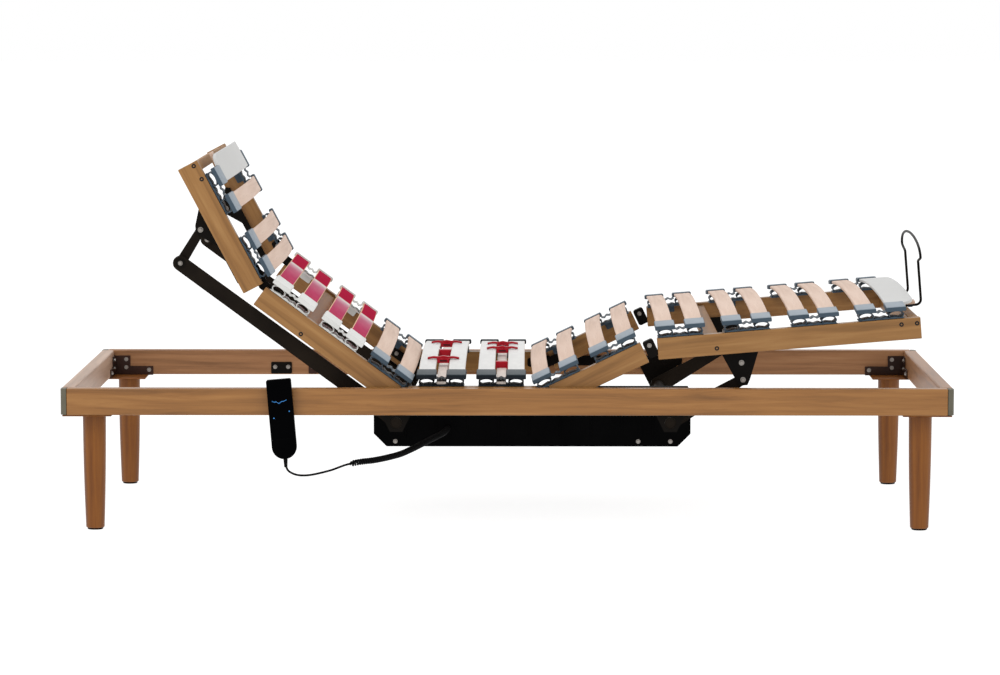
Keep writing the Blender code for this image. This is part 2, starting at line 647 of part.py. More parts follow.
def build():
    root = empty("bed_origin", (0, SHIFT_Y, 0))
    for side_name, side in (("near", -1), ("far", 1)):
        side_rail(f"side_rail_{side_name}", side, root)
        chassis_side(f"chassis_side_{side_name}", side, root)
        seat_rail(f"seat_rail_{side_name}", side, root)
    for end_name, end in (("head", -1), ("foot", 1)):
        end_rail(f"end_rail_{end_name}", end, root)
        for side_name, side in (("near", -1), ("far", 1)):
            leg(f"leg_{end_name}_{side_name}", end, side, root)

    back = empty("back_hinge", (BACK_HINGE[0], 0, BACK_HINGE[1]), root, BACK_ANGLE)
    head = empty("head_hinge", (HEAD_HINGE[0] - BACK_HINGE[0], 0, HEAD_HINGE[1] - BACK_HINGE[1]), back,
                 HEAD_ANGLE)
    thigh = empty("thigh_hinge", (THIGH_HINGE[0], 0, THIGH_HINGE[1]), root, THIGH_ANGLE)
    calf = empty("calf_hinge", (CALF_HINGE[0] - THIGH_HINGE[0], 0, CALF_HINGE[1] - THIGH_HINGE[1]),
                 thigh, CALF_ANGLE)
    sections = (("back", BACK_RANGE, BACK_HINGE, back), ("head", HEAD_RANGE, HEAD_HINGE, head),
                ("thigh", THIGH_RANGE, THIGH_HINGE, thigh), ("calf", CALF_RANGE, CALF_HINGE, calf))
    for side_name, side in (("near", -1), ("far", 1)):
        for section, span, hinge, parent in sections:
            section_rail(f"{section}_rail_{side_name}", side, span, hinge, parent)
        head_bracket(f"head_bracket_{side_name}", side, head)
        calf_bracket(f"calf_bracket_{side_name}", side, calf)
    cross_board("back_cross_board", -0.5015, 0.040, BACK_HINGE, back)
    cross_board("calf_cross_board", 0.4885, 0.034, CALF_HINGE, calf)
    cross_board("head_end_rail", HEAD_RANGE[0] + 0.013, 0.022, HEAD_HINGE, head, 0.001, 0.046)
    cross_board("calf_end_rail", CALF_RANGE[1] - 0.013, 0.022, CALF_HINGE, calf, 0.001, 0.046)

    pair = pair_mesh("slat_pair", False)
    slat_pairs("back", BACK_HINGE, back, pair, "slat")
    slat_pairs("head", HEAD_HINGE, head, pair, "slat")
    slat_pairs("thigh", THIGH_HINGE, thigh, pair, "slat")
    slat_pairs("calf", CALF_HINGE, calf, pair, "slat")
    slat_pairs("seat", (0.0, 0.0), root, pair_mesh("seat_pair", True), "white_slat")

    back_tube = empty("back_tube_axis", (BACK_TUBE[0], 0, BACK_TUBE[1]), root)
    leg_tube = empty("leg_tube_axis", (LEG_TUBE[0], 0, LEG_TUBE[1]), root)
    lift_shaft("back_lift_shaft", raised(ARM_TIP, BACK_TUBE), 0.018, 0.017, back_tube)
    lift_shaft("leg_lift_shaft", raised(CALF_PIN, LEG_TUBE), 0.020, 0.012, leg_tube)
    link_axis = empty("head_link_axis", (LINK_TOP[0], 0, LINK_TOP[1]), root)
    for side_name, side in (("near", -1), ("far", 1)):
        head_link(f"head_link_{side_name}", side, link_axis)

    housing_tray("housing_tray", root)
    housing_lid("housing_lid", root)
    for kind, tube, side in (("back", BACK_TUBE, -1), ("leg", LEG_TUBE, 1)):
        spindle_drive(f"{kind}_spindle_drive", tube, side, root)
        slide = empty(f"{kind}_push_axis", (tube[0] - side * BLOCK_BEHIND, 0, BLOCK_Z), root)
        push_block(f"{kind}_push_block", slide)

    mattress_retainer("mattress_retainer", calf, CALF_HINGE)
    handset("handset", root)
    handset_hook("handset_hook", root)
    handset_cord(root)
    first, second = PAIRS["seat"]
    for name, x, y in (("slider_1_near", first, -0.18), ("slider_1_far", first, 0.20),
                       ("slider_2_near", second, 0.02), ("slider_2_far", second, 0.16)):
        slider(name, x, y, root)


build()
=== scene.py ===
"""The looks of the adjustable slatted bed base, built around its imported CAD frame."""
import json
from math import cos, pi, radians, sin, sqrt

import bmesh
import bpy
import numpy as np
from mathutils import Matrix, Vector

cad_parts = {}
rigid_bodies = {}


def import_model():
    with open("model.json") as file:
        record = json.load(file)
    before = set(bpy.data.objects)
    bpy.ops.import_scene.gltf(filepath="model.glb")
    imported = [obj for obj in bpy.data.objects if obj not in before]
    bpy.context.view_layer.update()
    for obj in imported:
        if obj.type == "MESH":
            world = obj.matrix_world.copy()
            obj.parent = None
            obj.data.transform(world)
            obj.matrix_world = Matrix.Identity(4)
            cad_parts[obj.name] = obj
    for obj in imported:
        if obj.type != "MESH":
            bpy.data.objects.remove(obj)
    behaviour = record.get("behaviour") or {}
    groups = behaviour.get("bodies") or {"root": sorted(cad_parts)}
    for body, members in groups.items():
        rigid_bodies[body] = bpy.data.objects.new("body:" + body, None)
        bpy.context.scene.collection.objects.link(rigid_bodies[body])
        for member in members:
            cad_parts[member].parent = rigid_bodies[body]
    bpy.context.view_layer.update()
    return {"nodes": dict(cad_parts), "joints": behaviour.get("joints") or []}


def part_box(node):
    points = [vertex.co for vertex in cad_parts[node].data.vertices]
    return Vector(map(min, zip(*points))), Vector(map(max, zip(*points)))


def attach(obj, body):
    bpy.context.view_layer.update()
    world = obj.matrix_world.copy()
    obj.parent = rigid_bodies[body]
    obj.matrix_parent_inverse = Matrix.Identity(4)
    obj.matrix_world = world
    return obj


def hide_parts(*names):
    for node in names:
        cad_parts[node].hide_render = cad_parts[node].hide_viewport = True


for thing in list(bpy.data.objects):
    bpy.data.objects.remove(thing, do_unlink=True)

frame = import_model()

# The frame's own reference sizes
NEAR_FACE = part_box("side_rail_near")[0].y
MIDDLE_Y = (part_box("side_rail_near")[0].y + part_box("side_rail_far")[1].y) / 2
RAIL_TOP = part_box("side_rail_near")[1].z
RAIL_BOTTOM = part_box("side_rail_near")[0].z
BED_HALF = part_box("side_rail_near")[1].x
WIDTH_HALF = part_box("side_rail_far")[1].y - MIDDLE_Y
CENTRE = Matrix.Translation((0, MIDDLE_Y, 0))
RAIL_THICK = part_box("side_rail_far")[1].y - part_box("side_rail_far")[0].y

# Raised angle of each section about +Y, in degrees
ANGLES = {"frame": 0.0, "back": 36.5, "head": 62.25, "thigh": -25.5, "calf": -4.7}
SIDES = (("near", -1), ("far", 1))
ENDS = (("head", -1), ("foot", 1))

# Raised pins of the lifting gear, and the lifting arms' distance from the middle
ARM_TIP = Vector((-0.7346, 0, 0.6007))
CALF_PIN = Vector((0.531, 0, 0.339))
ARM_PLANE = 0.375

# Slats and their holders
SLAT_HALF = 0.4
SLAT_BOW = 0.016
SLAT_LIFT = 0.0198
SLAT_WIDTH = 0.038
SLAT_THICK = 0.0066
PAIR_HALF = 0.0335
CAP_WIDTH = 0.045
CAP_RANGE = (0.345, 0.414)
CAP_THICK = 0.0108
RING_WIDTH = 0.035
RING_HEIGHT = 0.0182
RING_WALL = 0.0022
RING_FOOT = 0.0004
RING_RANGE = (0.351, 0.407)
STRIP_HALF = 0.0515
PLATE_REACH = 0.029
STRIP_LOW = 0.0006
RAIL_INNER = 0.385
CLIP_THICK = 0.0035
CLIP_DEPTH = 0.016
STRIP_HIGH = 0.0022
PLATE_TAPER = (0.342, 0.055)
TONGUE_Y = (-0.296, -0.268)
LOWER_WIDTH = 0.022
LOWER_DROP = 0.0155

# Sliders
SLIDER_HALF = 0.0142
ARM_REACH = 0.0365

# Corner caps and brackets of the outer frame; bolts as (way along a rail, way up)
CORNER_EASE = 0.0006
BRACKET_STEEL = 0.0025
BRACKET_ARM = (0.096, 0.022)
BRACKET_UPRIGHT = (0.04, 0.048)
BRACKET_BOLTS = ((0.03, 0.038), (0.03, 0.018), (0.086, 0.012))
FLANGE_GAP = 0.0005
SWAP_XY = Matrix(((0, 1, 0, 0), (1, 0, 0, 0), (0, 0, 1, 0), (0, 0, 0, 1)))

# Legs: place from the middle, and radius at the foot and at the top
LEG_X = 0.93
LEG_Y = 0.39
LEG_RADII = (0.0208, 0.026)

# Steel fittings: knee plates and hinge leaves by distance from the middle, bolts as (x, z)
KNEE_HALF = 0.0125
KNEE_FACES = (0.386, 0.409)
LEAF_FACE = 0.3842
LEAF_STEP = 0.0024
LEAF_TALL = 0.022
HANGER_BOLTS = ((-0.249, 0.276), (0.367, 0.276))
# Plates on the far rail (name, low x, high x, look, bolts' x)
RAIL_PLATES = (("mains", -0.584, -0.533, "steel", (-0.574, -0.542)),
               ("tie", -0.492, -0.471, "corner_bronze", (-0.4815,)))

# Motor housing's trims, along x
HOUSING_BOLTS = (-0.262, 0.304, 0.379)
HOUSING_BUMPS = (-0.033, 0.145)
HOUSING_FLANGE = (-0.222, 0.34)
RIB_START = -0.24
RIB_PITCH = 0.072
RIB_COUNT = 9

# Camera
LENS = 141.3
SENSOR_WIDTH = 36.0
CAMERA_PLACE = (0.047, NEAR_FACE - 8.721, 1.282)
CAMERA_PITCH = 5.512
CAMERA_YAW = 0.41

# Lamps (name, place, size in metres, watts), over an even white surround
LAMPS = (("key", (-2.2, -2.6, 3.4), 1.6, 45.0), ("fill", (3.0, -2.6, 2.4), 2.4, 12.0),
         ("rim", (0.5, 3.0, 3.2), 2.0, 20.0))
FLOOR_GLOW = 0.86
FLOOR_HALF = 40
WHITE = (1.0, 1.0, 1.0, 1.0)

# Handset and its cord
HANDSET_TILT = -4.8
HANDSET_HALF = Vector((0.028, 0.01, 0.09))
CORD_DIAMETER = 0.0048
CURL_RADIUS = 0.005
CURL_PITCH = 0.0056
CURL_POINTS = 12


# Sections

def joint_place(name):
    return next(Vector(joint["pos_m"]) for joint in frame["joints"] if joint["name"] == name)


def section_matrix(section):
    """Places a piece modelled lying flat, from the section's hinge, in the raised section."""
    if section == "frame":
        return CENTRE
    return Matrix.Translation(joint_place(section + "_hinge")) @ Matrix.Rotation(
        radians(ANGLES[section]), 4, "Y")


def local_box(node, matrix):
    """A CAD node's lowest and highest corners in a section's flat frame."""
    inverse = matrix.inverted()
    points = np.array([inverse @ vertex.co for vertex in frame["nodes"][node].data.vertices])
    return Vector(points.min(0)), Vector(points.max(0))


# Materials

MATERIALS = {}


def shader_material(name):
    """A new material, filed under its name: its node tree and its shader."""
    made = bpy.data.materials.new(name)
    made.use_nodes = True
    MATERIALS[name] = made
    return made.node_tree, made.node_tree.nodes["Principled BSDF"]


def set_inputs(node, values):
    """Numbers or colours for a node's inputs, by name."""
    for name, value in values.items():
        node.inputs[name].default_value = value


def add_node(tree, kind, **values):
    node = tree.nodes.new(kind)
    for key, value in values.items():
        if hasattr(node, key):
            setattr(node, key, value)
        else:
            node.inputs[key].default_value = value
    return node


def coordinates(tree, scale):
    """Object coordinates: each raised section is drawn flat, so its grain runs along its rail."""
    source = add_node(tree, "ShaderNodeTexCoord")
    mapping = add_node(tree, "ShaderNodeMapping", Scale=scale)
    tree.links.new(source.outputs["Object"], mapping.inputs["Vector"])
    return mapping.outputs["Vector"]


def noise(tree, vector, scale, detail=4.0, roughness=0.55, distortion=0.0):
    node = add_node(tree, "ShaderNodeTexNoise", Scale=scale, Detail=detail, Roughness=roughness,
                    Distortion=distortion)
    tree.links.new(vector, node.inputs["Vector"])
    return node.outputs["Fac"]


def ramp(tree, factor, stops):
    """A colour ramp through (position, linear colour) stops."""
    node = add_node(tree, "ShaderNodeValToRGB")
    elements = node.color_ramp.elements
    elements.remove(elements[-1])
    elements[0].position = stops[0][0]
    elements[0].color = (*stops[0][1], 1.0)
    for position, colour in stops[1:]:
        elements.new(position).color = (*colour, 1.0)
    tree.links.new(factor, node.inputs["Fac"])
    return node.outputs["Color"]


def mix(tree, first, second, factor, blend="MIX"):
    """Two colours mixed; each value may be a number, a colour or a socket."""
    node = add_node(tree, "ShaderNodeMix", data_type="RGBA", blend_type=blend)
    for value, socket in ((factor, node.inputs[0]), (first, node.inputs[6]), (second, node.inputs[7])):
        if isinstance(value, bpy.types.NodeSocket):
            tree.links.new(value, socket)
        else:
            socket.default_value = value
    return node.outputs[2]


def bump(tree, shader, height, strength, distance):
    node = add_node(tree, "ShaderNodeBump", Strength=strength, Distance=distance)
    tree.links.new(height, node.inputs["Height"])
    tree.links.new(node.outputs["Normal"], shader.inputs["Normal"])


def roughness_range(tree, shader, factor, low, high):
    node = add_node(tree, "ShaderNodeMapRange")
    set_inputs(node, {"To Min": low, "To Max": high})
    tree.links.new(factor, node.inputs["Value"])
    tree.links.new(node.outputs["Result"], shader.inputs["Roughness"])


def wood(name, dark, middle, light, grain_axis="X", roughness=(0.34, 0.5), coat=0.05, specular=0.25):
    """Lacquered wood: broad colour drift, long fine grain and short dark pores along one axis."""
    tree, shader = shader_material(name)
    along, across = 1.2, 26.0
    scale = {"X": (along, across, across), "Y": (across, along, across), "Z": (across, across, along)}
    vector = coordinates(tree, scale[grain_axis])
    grain = noise(tree, vector, 2.2, 8.0, 0.62, 0.6)
    drift = noise(tree, coordinates(tree, (0.8, 0.8, 0.8)), 3.0, 2.0)
    pores = noise(tree, vector, 14.0, 3.0, 0.7)
    colour = ramp(tree, grain, ((0.3, dark), (0.5, middle), (0.7, light)))
    colour = mix(tree, colour, ramp(tree, drift, ((0.3, dark), (0.7, light))), 0.22)
    marks = ramp(tree, pores, ((0.6, (0, 0, 0)), (0.74, (0.5, 0.5, 0.5))))
    colour = mix(tree, colour, (0.55, 0.5, 0.46, 1.0), marks, "MULTIPLY")
    tree.links.new(colour, shader.inputs["Base Color"])
    roughness_range(tree, shader, grain, *roughness)
    bump(tree, shader, grain, 0.25, 0.0004)
    set_inputs(shader, {"Specular IOR Level": specular, "Coat Weight": coat, "Coat Roughness": 0.25})


def film_slat(name, stops, sides, sheen=0.1):
    """A slat in printed film whose colour changes along its length, over sides of one colour; for the pink
    slats that change is partly painted light, a painted highlight at the bend and painted shade on the far
    end.
    """
    tree, shader = shader_material(name)
    source = add_node(tree, "ShaderNodeTexCoord")
    split = add_node(tree, "ShaderNodeSeparateXYZ")
    tree.links.new(source.outputs["Object"], split.inputs["Vector"])
    spread = add_node(tree, "ShaderNodeMapRange")
    set_inputs(spread, {"From Min": -SLAT_HALF, "From Max": SLAT_HALF})
    tree.links.new(split.outputs["Y"], spread.inputs["Value"])
    # For the pink slats this ramp carries painted sheen, a painted highlight and painted shade along the
    # slat, over the print's pink.
    film = ramp(tree, spread.outputs["Result"], stops)
    cloud = noise(tree, coordinates(tree, (9.0, 3.0, 9.0)), 6.0, 5.0, 0.6)
    film = mix(tree, film, ramp(tree, cloud, ((0.35, (0.86, 0.86, 0.86)), (0.75, (1.0, 1.0, 1.0)))), 1.0,
               "MULTIPLY")
    across = add_node(tree, "ShaderNodeMath", operation="ABSOLUTE")
    tree.links.new(split.outputs["X"], across.inputs[0])
    edge = add_node(tree, "ShaderNodeMath", operation="GREATER_THAN")
    edge.inputs[1].default_value = SLAT_WIDTH / 2 - 0.0016
    tree.links.new(across.outputs[0], edge.inputs[0])
    colour = mix(tree, film, (*sides, 1.0), edge.outputs[0])
    tree.links.new(colour, shader.inputs["Base Color"])
    roughness_range(tree, shader, cloud, 0.28, 0.42)
    bump(tree, shader, cloud, 0.12, 0.0003)
    set_inputs(shader, {"Specular IOR Level": sheen})


def coated(name, colour, worn, roughness, metallic=0.0, grain=260.0, strength=0.18, coat=0.0,
           specular=0.5):
    """Powder coat, rubber or moulded plastic: fine texture, soft mottling, lighter on wear."""
    tree, shader = shader_material(name)
    vector = coordinates(tree, (1.0, 1.0, 1.0))
    mottling = noise(tree, vector, 9.0, 6.0, 0.6)
    fine = noise(tree, vector, grain, 2.0)
    tree.links.new(ramp(tree, mottling, ((0.32, colour), (0.78, worn))), shader.inputs["Base Color"])
    roughness_range(tree, shader, mottling, *roughness)
    bump(tree, shader, fine, strength, 0.0003)
    set_inputs(shader, {"Metallic": metallic, "Specular IOR Level": specular, "Coat Weight": coat,
                        "Coat Roughness": 0.08})


def glowing(name, colour, strength):
    """A lit key: even colour with a faint light of its own."""
    tree, shader = shader_material(name)
    fine = noise(tree, coordinates(tree, (1.0, 1.0, 1.0)), 300.0)
    tree.links.new(ramp(tree, fine, ((0.3, colour), (0.7, tuple(min(1, c * 1.15) for c in colour)))),
                   shader.inputs["Base Color"])
    set_inputs(shader, {"Emission Color": (*colour, 1.0), "Emission Strength": strength,
                        "Roughness": 0.25})


# Linear colours: each wood's dark, middle and light; each film's stops from its near to its far end
BEECH = ((0.419, 0.27, 0.187), (0.57, 0.398, 0.301), (0.665, 0.503, 0.407))
HONEY = ((0.151, 0.066, 0.016), (0.26, 0.122, 0.034), (0.345, 0.182, 0.061))
STAINED = ((0.134, 0.054, 0.013), (0.254, 0.107, 0.026), (0.349, 0.163, 0.046))
# Lighter copies of the frame's stained wood, painted light: one for the head end rail, one for the far side
# rail and the foot end rail.
HEAD_END_LIT = ((0.255, 0.15, 0.092), (0.4, 0.255, 0.172), (0.5, 0.345, 0.25))
STAINED_LIT = ((0.162, 0.071, 0.027), (0.286, 0.133, 0.054), (0.386, 0.198, 0.091))
TURNED = ((0.104, 0.029, 0.003), (0.182, 0.057, 0.006), (0.244, 0.086, 0.01))
# The pink film's stops: the print's deep pink at the near end, growing paler as a painted sheen, a pale
# stripe of painted highlight at 0.455 to 0.475, then darker crimson painted shade over the far half.
PINK_PRINT_AND_LIGHT_STOPS = ((0.0, (0.45, 0.052, 0.1)), (0.2, (0.45, 0.065, 0.135)), (0.35, (0.5, 0.15, 0.22)),
              (0.42, (0.55, 0.32, 0.37)), (0.455, (0.66, 0.58, 0.56)), (0.475, (0.66, 0.58, 0.56)),
              (0.49, (0.38, 0.016, 0.048)), (1.0, (0.4, 0.02, 0.056)))
WHITE_STOPS = ((0.0, (0.66, 0.66, 0.64)), (0.5, (0.7, 0.7, 0.69)), (1.0, (0.66, 0.66, 0.65)))
BARE_SIDE = (0.66, 0.43, 0.3)
PALE_SIDE = (0.6, 0.57, 0.53)
PALE_STOPS = ((0.0, (0.7, 0.62, 0.56)), (1.0, (0.76, 0.69, 0.64)))

wood("frame_wood", *STAINED, coat=0.25)
# The far rail and the end rails use the lighter copies: painted light on one stained wood.
wood("frame_wood_far_lit", *STAINED_LIT)
wood("end_wood_head", *HEAD_END_LIT, grain_axis="Y", coat=0.15)
wood("end_wood_foot", *STAINED_LIT, grain_axis="Y", coat=0.15)
wood("leg_wood", *TURNED, grain_axis="Z")
wood("slat_wood", *BEECH, grain_axis="Y", roughness=(0.36, 0.5), specular=0.12)
wood("board_wood", *HONEY, grain_axis="Y", coat=0.0, specular=0.06)
film_slat("pink_slat", PINK_PRINT_AND_LIGHT_STOPS, BARE_SIDE, 0.0)
film_slat("white_slat", WHITE_STOPS, PALE_SIDE)
film_slat("pale_slat", PALE_STOPS, PALE_SIDE)
coated("steel", (0.0022, 0.0017, 0.0013), (0.007, 0.005, 0.0036), (0.36, 0.52), specular=0.06)
coated("corner_bronze", (0.018, 0.006, 0.003), (0.046, 0.015, 0.007), (0.3, 0.45), specular=0.2)
coated("bolt_metal", (0.24, 0.22, 0.2), (0.42, 0.39, 0.36), (0.3, 0.44), 1.0, 90.0)
coated("screw_dark", (0.004, 0.0045, 0.006), (0.01, 0.011, 0.014), (0.3, 0.5), specular=0.15)
# holder_dark is the seat holders' body, a darker copy of holder_slate that is painted shade; the hoop clips
# use it too.
coated("holder_dark", (0.004, 0.006, 0.009), (0.01, 0.015, 0.021), (0.46, 0.62), specular=0.12)
coated("holder_slate", (0.022, 0.04, 0.06), (0.04, 0.066, 0.092), (0.44, 0.6), specular=0.35)
# The caps' paler top skin: painted light from above on the slate holders' caps.
coated("holder_light", (0.185, 0.225, 0.265), (0.27, 0.31, 0.35), (0.44, 0.58), specular=0.2)
# A darker copy of the caps' top skin for the flat seat's caps: painted shade.
coated("holder_shaded_top", (0.022, 0.03, 0.036), (0.046, 0.06, 0.069), (0.46, 0.6), specular=0.2)
coated("holder_white", (0.52, 0.52, 0.5), (0.64, 0.64, 0.62), (0.4, 0.54))
coated("corner_cap", (0.085, 0.076, 0.052), (0.13, 0.12, 0.085), (0.42, 0.56), specular=0.3)
coated("housing", (0.0008, 0.0008, 0.0009), (0.0022, 0.0022, 0.0024), (0.42, 0.58), specular=0.02)
coated("drive_metal", (0.05, 0.05, 0.055), (0.1, 0.1, 0.105), (0.25, 0.4), 0.9)
coated("block_plastic", (0.5, 0.5, 0.46), (0.62, 0.62, 0.58), (0.4, 0.5))
coated("white_plate", (0.45, 0.45, 0.44), (0.5, 0.5, 0.49), (0.34, 0.46), strength=0.06, specular=0.25)
coated("slider_red", (0.3, 0.003, 0.01), (0.38, 0.006, 0.017), (0.26, 0.38), strength=0.08, specular=0.16)
coated("slider_shade", (0.03, 0.001, 0.003), (0.06, 0.002, 0.005), (0.4, 0.5), specular=0.2)
coated("handset_gloss", (0.0005, 0.0005, 0.0007), (0.001, 0.001, 0.0013), (0.1, 0.16), strength=0.02,
       specular=0.01)
glowing("key_glow", (0.02, 0.16, 0.42), 0.35)
coated("cord_rubber", (0.0012, 0.0012, 0.0014), (0.0035, 0.0035, 0.0038), (0.4, 0.54), specular=0.06)
wood("section_wood", *HONEY, coat=0.15)
coated("arm_steel", (0.006, 0.004, 0.0026), (0.017, 0.0118, 0.0075), (0.4, 0.56), specular=0.06)


# Mesh building

def new_object(name, data):
    """An object in the scene."""
    made = bpy.data.objects.new(name, data)
    bpy.context.scene.collection.objects.link(made)
    return made


def mesh_from(grid, name):
    mesh = bpy.data.meshes.new(name)
    grid.to_mesh(mesh)
    grid.free()
    return mesh


def block(name, low, high, cuts=0):
    """A box between two corners, cut across Y into equal lengths."""
    low, high = Vector(low), Vector(high)
    grid = bmesh.new()
    bmesh.ops.create_cube(grid, size=1.0)
    bmesh.ops.scale(grid, vec=high - low, verts=grid.verts)
    bmesh.ops.translate(grid, vec=(low + high) / 2, verts=grid.verts)
    for cut in range(1, cuts):
        y = low.y + (high.y - low.y) * cut / cuts
        bmesh.ops.bisect_plane(grid, geom=grid.verts[:] + grid.edges[:] + grid.faces[:],
                               plane_co=(0, y, 0), plane_no=(0, 1, 0))
    return mesh_from(grid, name)


def bend_to_bow(mesh):
    """Raise a flat bar's vertices onto the slats' arch."""
    for vertex in mesh.vertices:
        vertex.co.z += SLAT_BOW * (1 - (vertex.co.y / SLAT_HALF) ** 2)
    return mesh


def prism(name, outlines, y_low, y_high, rounding=0.0):
    """(x, z) outlines, the later ones holes, extruded along Y with rounded edges."""
    curve = bpy.data.curves.new(name, "CURVE")
    curve.dimensions = "2D"
    curve.fill_mode = "BOTH"
    curve.extrude = (y_high - y_low) / 2 - rounding
    curve.bevel_depth = rounding
    curve.bevel_resolution = 2
    curve.offset = -rounding
    for outline in outlines:
        spline = curve.splines.new("POLY")
        spline.points.add(len(outline) - 1)
        for point, (x, z) in zip(spline.points, outline):
            point.co = (x, z, 0.0, 1.0)
        spline.use_cyclic_u = True
    holder = new_object(name + "_outline", curve)
    bpy.context.view_layer.update()
    mesh = bpy.data.meshes.new_from_object(holder.evaluated_get(bpy.context.evaluated_depsgraph_get()))
    bpy.data.objects.remove(holder, do_unlink=True)
    mesh.materials.clear()
    grid = bmesh.new()
    grid.from_mesh(mesh)
    bmesh.ops.remove_doubles(grid, verts=grid.verts, dist=0.00002)
    upright = Matrix.Translation((0, (y_low + y_high) / 2, 0)) @ Matrix.Rotation(pi / 2, 4, "X")
    bmesh.ops.transform(grid, matrix=upright, verts=grid.verts)
    bmesh.ops.recalc_face_normals(grid, faces=grid.faces)
    grid.to_mesh(mesh)
    grid.free()
    return mesh


def lathe(name, profile, steps=40):
    """A turned solid from (radius, z) points, with closed ends on the axis."""
    grid = bmesh.new()
    ring = [grid.verts.new((radius, 0, z)) for radius, z in profile]
    for first, second in zip(ring, ring[1:]):
        grid.edges.new((first, second))
    bmesh.ops.spin(grid, geom=grid.verts[:] + grid.edges[:], cent=(0, 0, 0), axis=(0, 0, 1),
                   angle=2 * pi, steps=steps, use_duplicate=False)
    bmesh.ops.remove_doubles(grid, verts=grid.verts, dist=0.00001)
    bmesh.ops.recalc_face_normals(grid, faces=grid.faces)
    return mesh_from(grid, name)


def joined(name, parts):
    """One mesh from (mesh, material index) parts; each keeps its own closed surface."""
    grid = bmesh.new()
    for mesh, index in parts:
        start = len(grid.faces)
        grid.from_mesh(mesh)
        grid.faces.ensure_lookup_table()
        for face in grid.faces[start:]:
            face.material_index = index
    return mesh_from(grid, name)


def moved(mesh, matrix):
    mesh.transform(matrix)
    return mesh


def circle(x, z, radius, steps, flat=1.0):
    """A closed outline; flat squashes it in z."""
    return [(x + radius * cos(2 * pi * step / steps), z + flat * radius * sin(2 * pi * step / steps))
            for step in range(steps)]


def rounded_rectangle(x0, z0, x1, z1, radius):
    """A closed outline with round corners."""
    points, steps = [], 5
    for cx, cz, start in ((x1 - radius, z1 - radius, 0), (x0 + radius, z1 - radius, pi / 2),
                          (x0 + radius, z0 + radius, pi), (x1 - radius, z0 + radius, 3 * pi / 2)):
        for step in range(steps + 1):
            angle = start + pi / 2 * step / steps
            points.append((cx + radius * cos(angle), cz + radius * sin(angle)))
    return points


def place(name, mesh, matrix, body, slot, looks=None, bevel=0.0, segments=3):
    """A finished piece riding on a body; looks names its materials in index order, if not the slot's."""
    piece = new_object(name, mesh)
    piece.matrix_world = matrix
    if not mesh.materials:
        for look in looks or (slot,):
            mesh.materials.append(MATERIALS[look])
        mesh.shade_smooth()
        mesh.set_sharp_from_angle(angle=radians(38))
    if bevel:
        edges = piece.modifiers.new("edges", "BEVEL")
        edges.width = bevel
        edges.segments = segments
        edges.limit_method = "ANGLE"
        edges.angle_limit = radians(40)
        edges.harden_normals = False
    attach(piece, body)
    return piece


def repaint(node, look):
    """Give a CAD node that stays visible its finished material."""
    thing = frame["nodes"][node]
    thing.data.materials.clear()
    thing.data.materials.append(MATERIALS[look])
    thing.data.shade_smooth()
    thing.data.set_sharp_from_angle(angle=radians(35))


def facing(point, direction):
    """A matrix whose local +Z looks along a direction, at a point."""
    return Matrix.Translation(point) @ Vector(direction).to_track_quat("Z", "Y").to_matrix().to_4x4()


HEX_STEPS = 6


def slab(name, x0, z0, x1, z1, radius, y_low, y_high, rounding):
    """A plate with round corners, extruded along Y."""
    return prism(name, [rounded_rectangle(x0, z0, x1, z1, radius)], y_low, y_high, rounding)


def fasten(name, shape, spot, body, look="bolt_metal"):
    """A bolt or screw on its seat."""
    return place(name, shape, spot, body, "bolt_metal", (look,))


def bolt_mesh(name, radius, height):
    """A hexagon head on a round washer."""
    washer = lathe(name + "_washer", ((0, 0), (radius * 1.35, 0), (radius * 1.35, height * 0.25),
                                      (0, height * 0.25)), 24)
    head = lathe(name + "_head", ((0, height * 0.2), (radius, height * 0.2), (radius, height * 0.85),
                                  (radius * 0.85, height), (0, height)), HEX_STEPS)
    return joined(name, [(washer, 0), (head, 0)])


def screw_mesh(name, radius):
    """A countersunk screw: a dished head with a socket."""
    return lathe(name, ((0, -0.001), (radius * 0.35, -0.001), (radius * 0.4, 0.0002),
                        (radius * 0.8, 0.0008), (radius, 0.0004), (radius, -0.0015), (0, -0.0015)), 20)


BOLT = bolt_mesh("bolt", 0.0045, 0.005)
SMALL_BOLT = bolt_mesh("small_bolt", 0.0038, 0.004)
SCREW = screw_mesh("wood_screw", 0.005)


# Slats, holders and end plates

def slat_mesh(name, width, bow_drop=0.0, cuts=28):
    mesh = block(name, (-width / 2, -SLAT_HALF, SLAT_LIFT - bow_drop),
                 (width / 2, SLAT_HALF, SLAT_LIFT - bow_drop + SLAT_THICK), cuts)
    return bend_to_bow(mesh)


def cap_mesh(side):
    """A holder's cap: a paler top skin, painted light from above, over a dark sleeve, tilted with the end of
    the arch.
    """
    low, high = sorted((side * CAP_RANGE[0], side * CAP_RANGE[1]))
    half = CAP_WIDTH / 2
    base = SLAT_LIFT - 0.0012
    split = base + CAP_THICK - 0.0016
    inset = 0.0012
    sleeve = slab("sleeve", -half, base, half, split, 0.0018, low, high, 0.0006)
    skin = slab("skin", inset - half, split - 0.0006, half - inset, base + CAP_THICK, 0.0009,
                low + inset / 2, high - inset, 0.0006)
    return [(bend_to_bow(sleeve), 0), (bend_to_bow(skin), 1)]


def ring_outlines(x):
    """An oval rubber ring under a slat: outer and inner outline."""
    middle = RING_FOOT + RING_HEIGHT / 2
    outer = circle(x, middle, RING_WIDTH / 2, 36, RING_HEIGHT / RING_WIDTH)
    inner_width = RING_WIDTH - 2 * RING_WALL
    inner_height = RING_HEIGHT - 2 * RING_WALL * 0.8
    return [outer, circle(x, middle, inner_width / 2, 36, inner_height / inner_width)]


